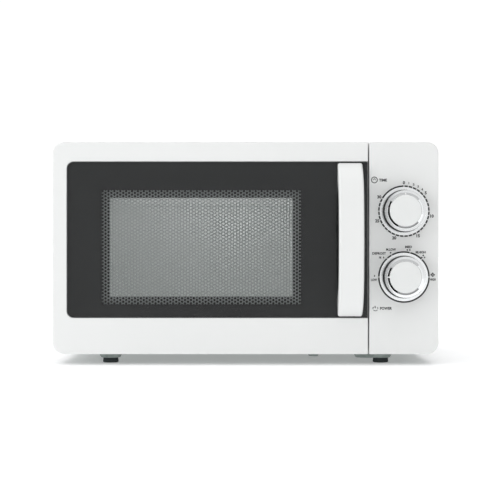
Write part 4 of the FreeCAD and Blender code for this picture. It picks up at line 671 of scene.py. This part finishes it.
def knob(body, angle):
    low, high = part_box(body + "_knob")
    cap_low, cap_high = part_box(body + "_knob_cap")
    centre = (low + high) / 2
    radius = (high.x - low.x) / 2
    height = high.y - low.y
    rim = radius - knob_draft
    cap = (cap_high.x - cap_low.x) / 2
    rim_height = height - knob_step
    profile = [
        (cap - seat_ledge, height - seat_depth),
        (cap + insert_gap, height - seat_depth),
        (cap + insert_gap, height),
        (rim - knob_rim, rim_height),
        (rim, rim_height),
        (rim, rim_height - rim_lip),
        (radius - foot_outer, foot_lift),
        (radius - foot_inner, foot_lift),
        (rim - skirt_wall, rim_height - web_depth),
        (web_bore, rim_height - web_depth),
    ]
    bm = lathe(profile + profile[:1], (centre.x, high.y, centre.z), (0, -1, 0), round_steps)
    soften(bm, skirt_round, angle=15.0, segments=3)
    piece(body + "_knob_skirt", bm, body, "knob_chrome", body + "_knob", sharp=60.0)

    # ribbed grip round the skirt, coated matt black as a painted dark reflection in place of the
    # chrome's own
    bm = bmesh.new()
    bmesh.ops.create_circle(bm, segments=4 * rib_count, radius=radius)
    for n, v in enumerate(bm.verts):
        if n % 4 in (0, 1):
            v.co *= 1 - rib_depth / radius
    back = bm.edges[:]
    made = bmesh.ops.extrude_edge_only(bm, edges=back)["geom"]
    front = [g for g in made if isinstance(g, bmesh.types.BMEdge)]
    taper = (rim - rib_gap) / radius
    for v in corners_of(made):
        v.co = (v.co.x * taper, v.co.y * taper, rim_height - rim_lip)
    for loop in (back, front):
        for v in corners_of(bmesh.ops.extrude_edge_only(bm, edges=loop)["geom"]):
            v.co.x *= rib_root
            v.co.y *= rib_root
    bmesh.ops.bridge_loops(bm, edges=[e for e in bm.edges if len(e.link_faces) == 1])
    at_knob = Matrix.Translation((centre.x, high.y, centre.z))
    stand = Matrix.Rotation(math.radians(90), 4, "X")
    bmesh.ops.transform(bm, matrix=at_knob @ stand, verts=bm.verts)
    piece(body + "_knob_ribs", bm, body, "knob_chrome", coat="painted_dark_reflection", sharp=50.0)

    thick = cap_high.y - cap_low.y
    profile = [
        (0, 0),
        (cap, 0),
        (cap, thick - insert_crown),
        (cap * 0.5, thick - insert_bow),
        (0, thick),
    ]
    bm = lathe(profile, (centre.x, cap_high.y, centre.z), (0, -1, 0), round_steps)
    soften(bm, insert_round, angle=40.0, segments=3)
    piece(body + "_knob_insert", bm, body, "knob_white", body + "_knob_cap")

    # white inlay on the slope, from the insert to the rim
    run = rim - knob_rim - cap
    slope = math.atan2(knob_step, run)
    length = math.hypot(run, knob_step)
    bm = slab(
        (-pointer_half, -length / 2, -pointer_sunk), (pointer_half, length / 2, pointer_proud)
    )
    soften(bm, pointer_round, segments=1)
    tilt = Matrix.Rotation(-slope, 4, "X")
    place = Matrix.Translation((0, cap + run / 2, (height + rim_height) / 2))
    spin = Matrix.Rotation(math.radians(-angle), 4, "Y")
    bmesh.ops.transform(bm, matrix=at_knob @ spin @ stand @ place @ tilt, verts=bm.verts)
    piece(body + "_knob_pointer", bm, body, "knob_white")
    return centre


dial_at = {body: knob(body, angle) for body, angle in pointer_angles.items()}


# ---- printed scales ----
print_radius = 29.3 * MM
stroke = 1.8 * MM
ink_high = 0.06 * MM
numeral_radius = 33.3 * MM
legend_height = 2.6 * MM
title_height = 3.0 * MM
mark_gap = 1.0  # degrees left bare at each end of a mark
face_y = panel_low.y


def ring(bm, centre, start, stop, radius=print_radius, width=stroke):
    """Printed arc, clockwise from the top, in degrees."""
    arc = bmesh.new()
    a = arc.verts.new((0, 0, radius - width / 2))
    b = arc.verts.new((0, 0, radius + width / 2))
    edge = arc.edges.new((a, b))
    bmesh.ops.spin(
        arc,
        geom=[a, b, edge],
        cent=(0, 0, 0),
        axis=(0, 1, 0),
        angle=math.radians(stop - start),
        steps=max(2, int((stop - start) / 3)),
        use_duplicate=False,
    )
    turn = Matrix.Rotation(math.radians(start), 3, "Y")
    bmesh.ops.rotate(arc, cent=(0, 0, 0), matrix=turn, verts=arc.verts)
    bmesh.ops.translate(arc, vec=(centre.x, face_y - ink_high, centre.z), verts=arc.verts)
    join(bm, arc)


def join(bm, other):
    mesh = bpy.data.meshes.new("part")
    other.to_mesh(mesh)
    other.free()
    bm.from_mesh(mesh)
    bpy.data.meshes.remove(mesh)


def flat(bm, other, x, z, turn=0.0):
    """Add a shape drawn in the XY plane to a print, with its middle at x, z."""
    place = Matrix.Translation((x, face_y - ink_high, z))
    spin = Matrix.Rotation(math.radians(-turn), 4, "Y")
    stand = Matrix.Rotation(math.radians(90), 4, "X")
    bmesh.ops.transform(other, matrix=place @ spin @ stand, verts=other.verts)
    join(bm, other)


def letters(bm, words, x, z, height, width=None):
    """Printed word with its middle at x, z."""
    curve = bpy.data.curves.new("words", "FONT")
    curve.body = words
    curve.size = height / 0.7
    curve.offset = height * 0.06
    curve.align_x = "CENTER"
    curve.align_y = "CENTER"
    curve.resolution_u = 3
    maker = bpy.data.objects.new("words", curve)
    scene.collection.objects.link(maker)
    word = bmesh.new()
    word.from_mesh(drawn(maker))
    across = [v.co.x for v in word.verts]
    up = [v.co.y for v in word.verts]
    middle = Vector(((min(across) + max(across)) / 2, (min(up) + max(up)) / 2, 0))
    bmesh.ops.translate(word, vec=-middle, verts=word.verts)
    if width:
        bmesh.ops.scale(word, vec=(width / (max(across) - min(across)), 1, 1), verts=word.verts)
    flat(bm, word, x, z)


def bar(bm, x, z, length, width, turn=0.0):
    """Printed stroke, turned clockwise from upright."""
    shape = bmesh.new()
    bmesh.ops.create_grid(shape, x_segments=1, y_segments=1, size=0.5)
    bmesh.ops.scale(shape, vec=(width, length, 1), verts=shape.verts)
    flat(bm, shape, x, z, turn)


def dot(bm, x, z, width, height, corners=12):
    shape = bmesh.new()
    bmesh.ops.create_circle(shape, cap_ends=True, segments=corners, radius=0.5)
    bmesh.ops.scale(shape, vec=(width, height, 1), verts=shape.verts)
    flat(bm, shape, x, z)


foil_inner = 25.2 * MM
foil_outer = 28.35 * MM


def foil_ring(body):
    """Bright ring of hot-stamped foil between the knob and its scale."""
    bm = bmesh.new()
    ring(bm, dial_at[body], 0, 360, (foil_inner + foil_outer) / 2, foil_outer - foil_inner)
    bmesh.ops.remove_doubles(bm, verts=bm.verts, dist=merge_reach)
    thicken(bm, ink_high)
    piece(body + "_foil_ring", bm, "oven", "knob_chrome", coat="foil", smooth=False)


def timer_scale():
    bm = bmesh.new()
    centre = dial_at["timer"]
    minute = 10  # degrees on the scale
    for k in range(30):
        ring(bm, centre, minute * k + mark_gap, minute * (k + 1) - mark_gap)
    ring(bm, centre, minute * 30 + mark_gap, 360 - mark_gap)
    for minutes in (0, 1, 2, 3, 4, 5, 10, 15, 20, 25, 30):
        angle = math.radians(minutes * minute)
        height = 2.4 * MM if minutes in (1, 2, 3, 4) else 3.4 * MM
        x = centre.x + numeral_radius * math.sin(angle)
        z = centre.z + numeral_radius * math.cos(angle)
        letters(bm, str(minutes), x, z, height)
    letters(bm, "TIME", centre.x - 24.5 * MM, centre.z + 36.3 * MM, title_height, 9.3 * MM)
    clock = Vector((centre.x - 34.5 * MM, 0, centre.z + 36.5 * MM))
    ring(bm, clock, 0, 360, 3.4 * MM, 0.9 * MM)
    bar(bm, clock.x - 0.8 * MM, clock.z + 0.8 * MM, 2.6 * MM, 0.6 * MM, -45)
    bar(bm, clock.x + 0.8 * MM, clock.z + 0.8 * MM, 2.6 * MM, 0.6 * MM, 45)
    thicken(bm, ink_high)
    return bm


def power_scale():
    bm = bmesh.new()
    centre = dial_at["power"]
    stops = [-90, -42, -29, 14, 45, 90, 270]  # degrees from the top, one for each power level
    for start, stop in zip(stops, stops[1:]):
        ring(bm, centre, start + mark_gap, stop - mark_gap)

    def at(x, z):
        return centre.x + x * MM, centre.z + z * MM

    for words, x, z, width in (
        ("LOW", -35.0, -3.3, 6.9),
        ("DEFROST", -29.0, 27.6, 16.0),
        ("M.LOW", -15.1, 32.2, 11.6),
        ("MED", 5.4, 35.2, 8.0),
        ("M.HIGH", 19.7, 29.0, 11.7),
        ("HIGH", 33.9, -2.9, 6.6),
    ):
        letters(bm, words, *at(x, z), legend_height, width * MM)
    letters(bm, "POWER", *at(-21.0, -36.7), title_height, 14.0 * MM)
    # small marks that stand for more and more power
    dot(bm, *at(-34.4, 1.3), 1.4 * MM, 2.2 * MM)
    dot(bm, *at(-15.6, 28.4), 1.9 * MM, 1.9 * MM)
    for x in (4.0, 6.9):
        dot(bm, *at(x, 31.7), 2.1 * MM, 2.5 * MM, 4)
    for x, z in ((22.6, 25.2), (21.0, 22.9), (24.2, 22.9)):
        dot(bm, *at(x, z), 2.1 * MM, 2.3 * MM, 4)
    for x, z in ((0, 1.5), (0, -1.5), (1.5, 0), (-1.5, 0)):
        dot(bm, *at(33.7 + x, 2.6 + z), 2.6 * MM, 2.6 * MM, 4)
    # frost star and melting drop
    for turn in (0, 60, 120):
        bar(bm, *at(-27.8, 22.8), 3.4 * MM, 0.5 * MM, turn)
    dot(bm, *at(-23.8, 22.8), 1.5 * MM, 2.8 * MM, 4)
    # level mark beside the legend
    gauge = Vector((centre.x - 33.4 * MM, 0, centre.z - 36.6 * MM))
    ring(bm, gauge, 130, 230, 3.0 * MM, 0.7 * MM)
    ring(bm, gauge, 250, 300, 2.9 * MM, 0.7 * MM)
    ring(bm, gauge, 60, 110, 2.9 * MM, 0.7 * MM)
    bar(bm, gauge.x, gauge.z + 1.4 * MM, 2.8 * MM, 0.8 * MM, 20)
    bar(bm, gauge.x - 1.5 * MM, gauge.z + 1.2 * MM, 1.8 * MM, 0.6 * MM, -30)
    thicken(bm, ink_high)
    return bm


for body in dial_at:
    foil_ring(body)
piece("timer_scale_print", timer_scale(), "oven", "dial_print", smooth=False)
piece("power_scale_print", power_scale(), "oven", "dial_print", smooth=False)


# ---- panel ----
front_depth = 2.0 * MM  # the edges this near the panel's face are rounded
bm = merged("control_panel")
soften_front(bm, panel_low.y + front_depth)
piece("control_fascia", bm, "oven", "white_abs", "control_panel")


# ---- stage ----
def card(name, bm, material):
    mesh = bpy.data.meshes.new(name)
    bm.to_mesh(mesh)
    bm.free()
    mesh.materials.append(material)
    obj = bpy.data.objects.new(name, mesh)
    scene.collection.objects.link(obj)
    return obj


def level_card(centre, size, normal):
    """Flat card in the stage, its face towards normal."""
    bm = bmesh.new()
    bmesh.ops.create_grid(bm, x_segments=1, y_segments=1, size=0.5)
    turn = Vector((0, 0, 1)).rotation_difference(Vector(normal)).to_matrix().to_4x4()
    scale = Matrix.Diagonal((size[0], size[1], 1, 1))
    bmesh.ops.transform(bm, matrix=Matrix.Translation(centre) @ turn @ scale, verts=bm.verts)
    return bm


def glowing(name, colour, roughness, level):
    """Material that also gives off white light of its own."""
    glow = {"Emission Color": (1, 1, 1, 1), "Emission Strength": level}
    return finish(name, colour, roughness, **glow)


# Floor of pale matt board, lit a little from below as a light table is.
material, tree, shader = glowing("matt_white_board", "#f4f4f5", 0.95, 0.24)
card("floor", level_card((0, 0, 0), (60.0, 60.0), (0, 0, 1)), material)


def reflector(name, bm, level):
    """Card that only shows in polished surfaces, and from its front: bright above 0, black at 0."""
    material, tree, shader = glowing(name, "#000000", 1.0, level)
    back = add(tree, "ShaderNodeNewGeometry").outputs["Backfacing"]
    front = add(tree, "ShaderNodeMapRange", {"Value": back, "To Min": 1.0, "To Max": 0.0})
    tree.links.new(front.outputs["Result"], shader.inputs["Alpha"])
    obj = card(name, bm, material)
    obj.visible_camera = False
    obj.visible_diffuse = False
    obj.visible_shadow = False
    obj.visible_transmission = False


# The right card brightens the chrome from the side and the front one the knobs' rims. The shade
# gives the dark screen one even, dimmer card to mirror.
reflector("right_card", level_card((1.4, -0.2, 0.3), (1.6, 2.6), (-1, 0, 0)), 1.0)
reflector("front_card", level_card((0, -3.2, 1.0), (3.2, 3.2), (0, 1, 0)), 0.85)
reflector("screen_shade", level_card((-0.2775, -1.2, 0.451), (1.045, 0.9), (0, 1, 0)), 0.48)

cove_radius = 33 * MM
cove_reach = (8 * MM, 24 * MM)  # from this far to that far in front of the panel


def cove(centre, start, stop):
    """Curved card round part of a dial, in degrees clockwise from the top, facing inwards."""
    bm = bmesh.new()
    a = bm.verts.new((0, face_y - cove_reach[1], cove_radius))
    b = bm.verts.new((0, face_y - cove_reach[0], cove_radius))
    bmesh.ops.spin(
        bm,
        geom=[a, b, bm.edges.new((a, b))],
        cent=(0, 0, 0),
        axis=(0, 1, 0),
        angle=math.radians(stop - start),
        steps=24,
        use_duplicate=False,
    )
    bm.normal_update()
    for face in bm.faces:
        middle = face.calc_center_median()
        if face.normal.x * middle.x + face.normal.z * middle.z > 0:
            face.normal_flip()
    place = Matrix.Translation((centre.x, 0, centre.z))
    turn = Matrix.Rotation(math.radians(start), 4, "Y")
    bmesh.ops.transform(bm, matrix=place @ turn, verts=bm.verts)
    return bm


# The chrome mirrors a black, a grey and a pale stretch round each dial.
coves = (("dark", 205, 305, 0.0), ("grey", 130, 205, 0.33), ("pale", 305, 410, 0.62))
for body, centre in dial_at.items():
    for shade, start, stop, level in coves:
        reflector(f"{body}_{shade}_cove", cove(centre, start, stop), level)


def lamp(name, kind, energy, at, aim, **settings):
    data = bpy.data.lights.new(name, kind)
    data.energy = energy
    for key, value in settings.items():
        setattr(data, key, value)
    obj = bpy.data.objects.new(name, data)
    scene.collection.objects.link(obj)
    obj.location = at
    obj.rotation_euler = (Vector(aim) - Vector(at)).to_track_quat("-Z", "Y").to_euler()
    return obj


sun = lamp("overhead", "SUN", 1.68, (-0.3, -0.3, 3.0), (0, 0, 0), angle=math.radians(80))
sun.visible_glossy = False
lamp("key", "AREA", 13.8, (-2.0, -1.3, 0.7), (0, 0, 0.13), size=1.3)
cavity_low, cavity_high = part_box("cavity_wrapper")
inside = (cavity_low + cavity_high) / 2
ceiling = cavity_high.z - 5 * MM
cavity_light = lamp(
    "cavity_light",
    "AREA",
    0.57,
    (inside.x, inside.y, ceiling),
    (inside.x, inside.y, 0),
    size=0.25,
)
cavity_light.visible_camera = False
cavity_light.visible_glossy = False

# Studio dome, paler overhead than at the sides, with a white backdrop behind the object.
world = bpy.data.worlds.new("studio")
world.use_nodes = True
world.node_tree.nodes.clear()
ray = add(world.node_tree, "ShaderNodeLightPath")
direction = add(
    world.node_tree,
    "ShaderNodeSeparateXYZ",
    {"Vector": add(world.node_tree, "ShaderNodeTexCoord").outputs["Generated"]},
)
dome = add(
    world.node_tree,
    "ShaderNodeMapRange",
    {"Value": direction.outputs["Z"], "From Min": 0.2, "To Min": 0.32, "To Max": 0.6},
)
brightness = add(
    world.node_tree,
    "ShaderNodeMix",
    {"Factor": ray.outputs["Is Camera Ray"], "A": dome.outputs["Result"], "B": 1.05},
)
sky = add(
    world.node_tree,
    "ShaderNodeBackground",
    {"Color": (1, 1, 1, 1), "Strength": brightness.outputs["Result"]},
)
add(world.node_tree, "ShaderNodeOutputWorld", {"Surface": sky.outputs["Background"]})
scene.world = world
scene.view_settings.view_transform = "Standard"

# ---- camera ----
camera_distance = 1.65
camera_height = 135.5 * MM
camera_shift = 5.3 * MM  # to the right of the oven's middle
camera_data = bpy.data.cameras.new("camera")
camera_data.sensor_width = 36.0
camera_data.lens = 101.5
camera = bpy.data.objects.new("camera", camera_data)
scene.collection.objects.link(camera)
camera.location = (camera_shift, frame_low.y - camera_distance, camera_height)
camera.rotation_euler = (math.radians(90), 0, 0)
scene.camera = camera
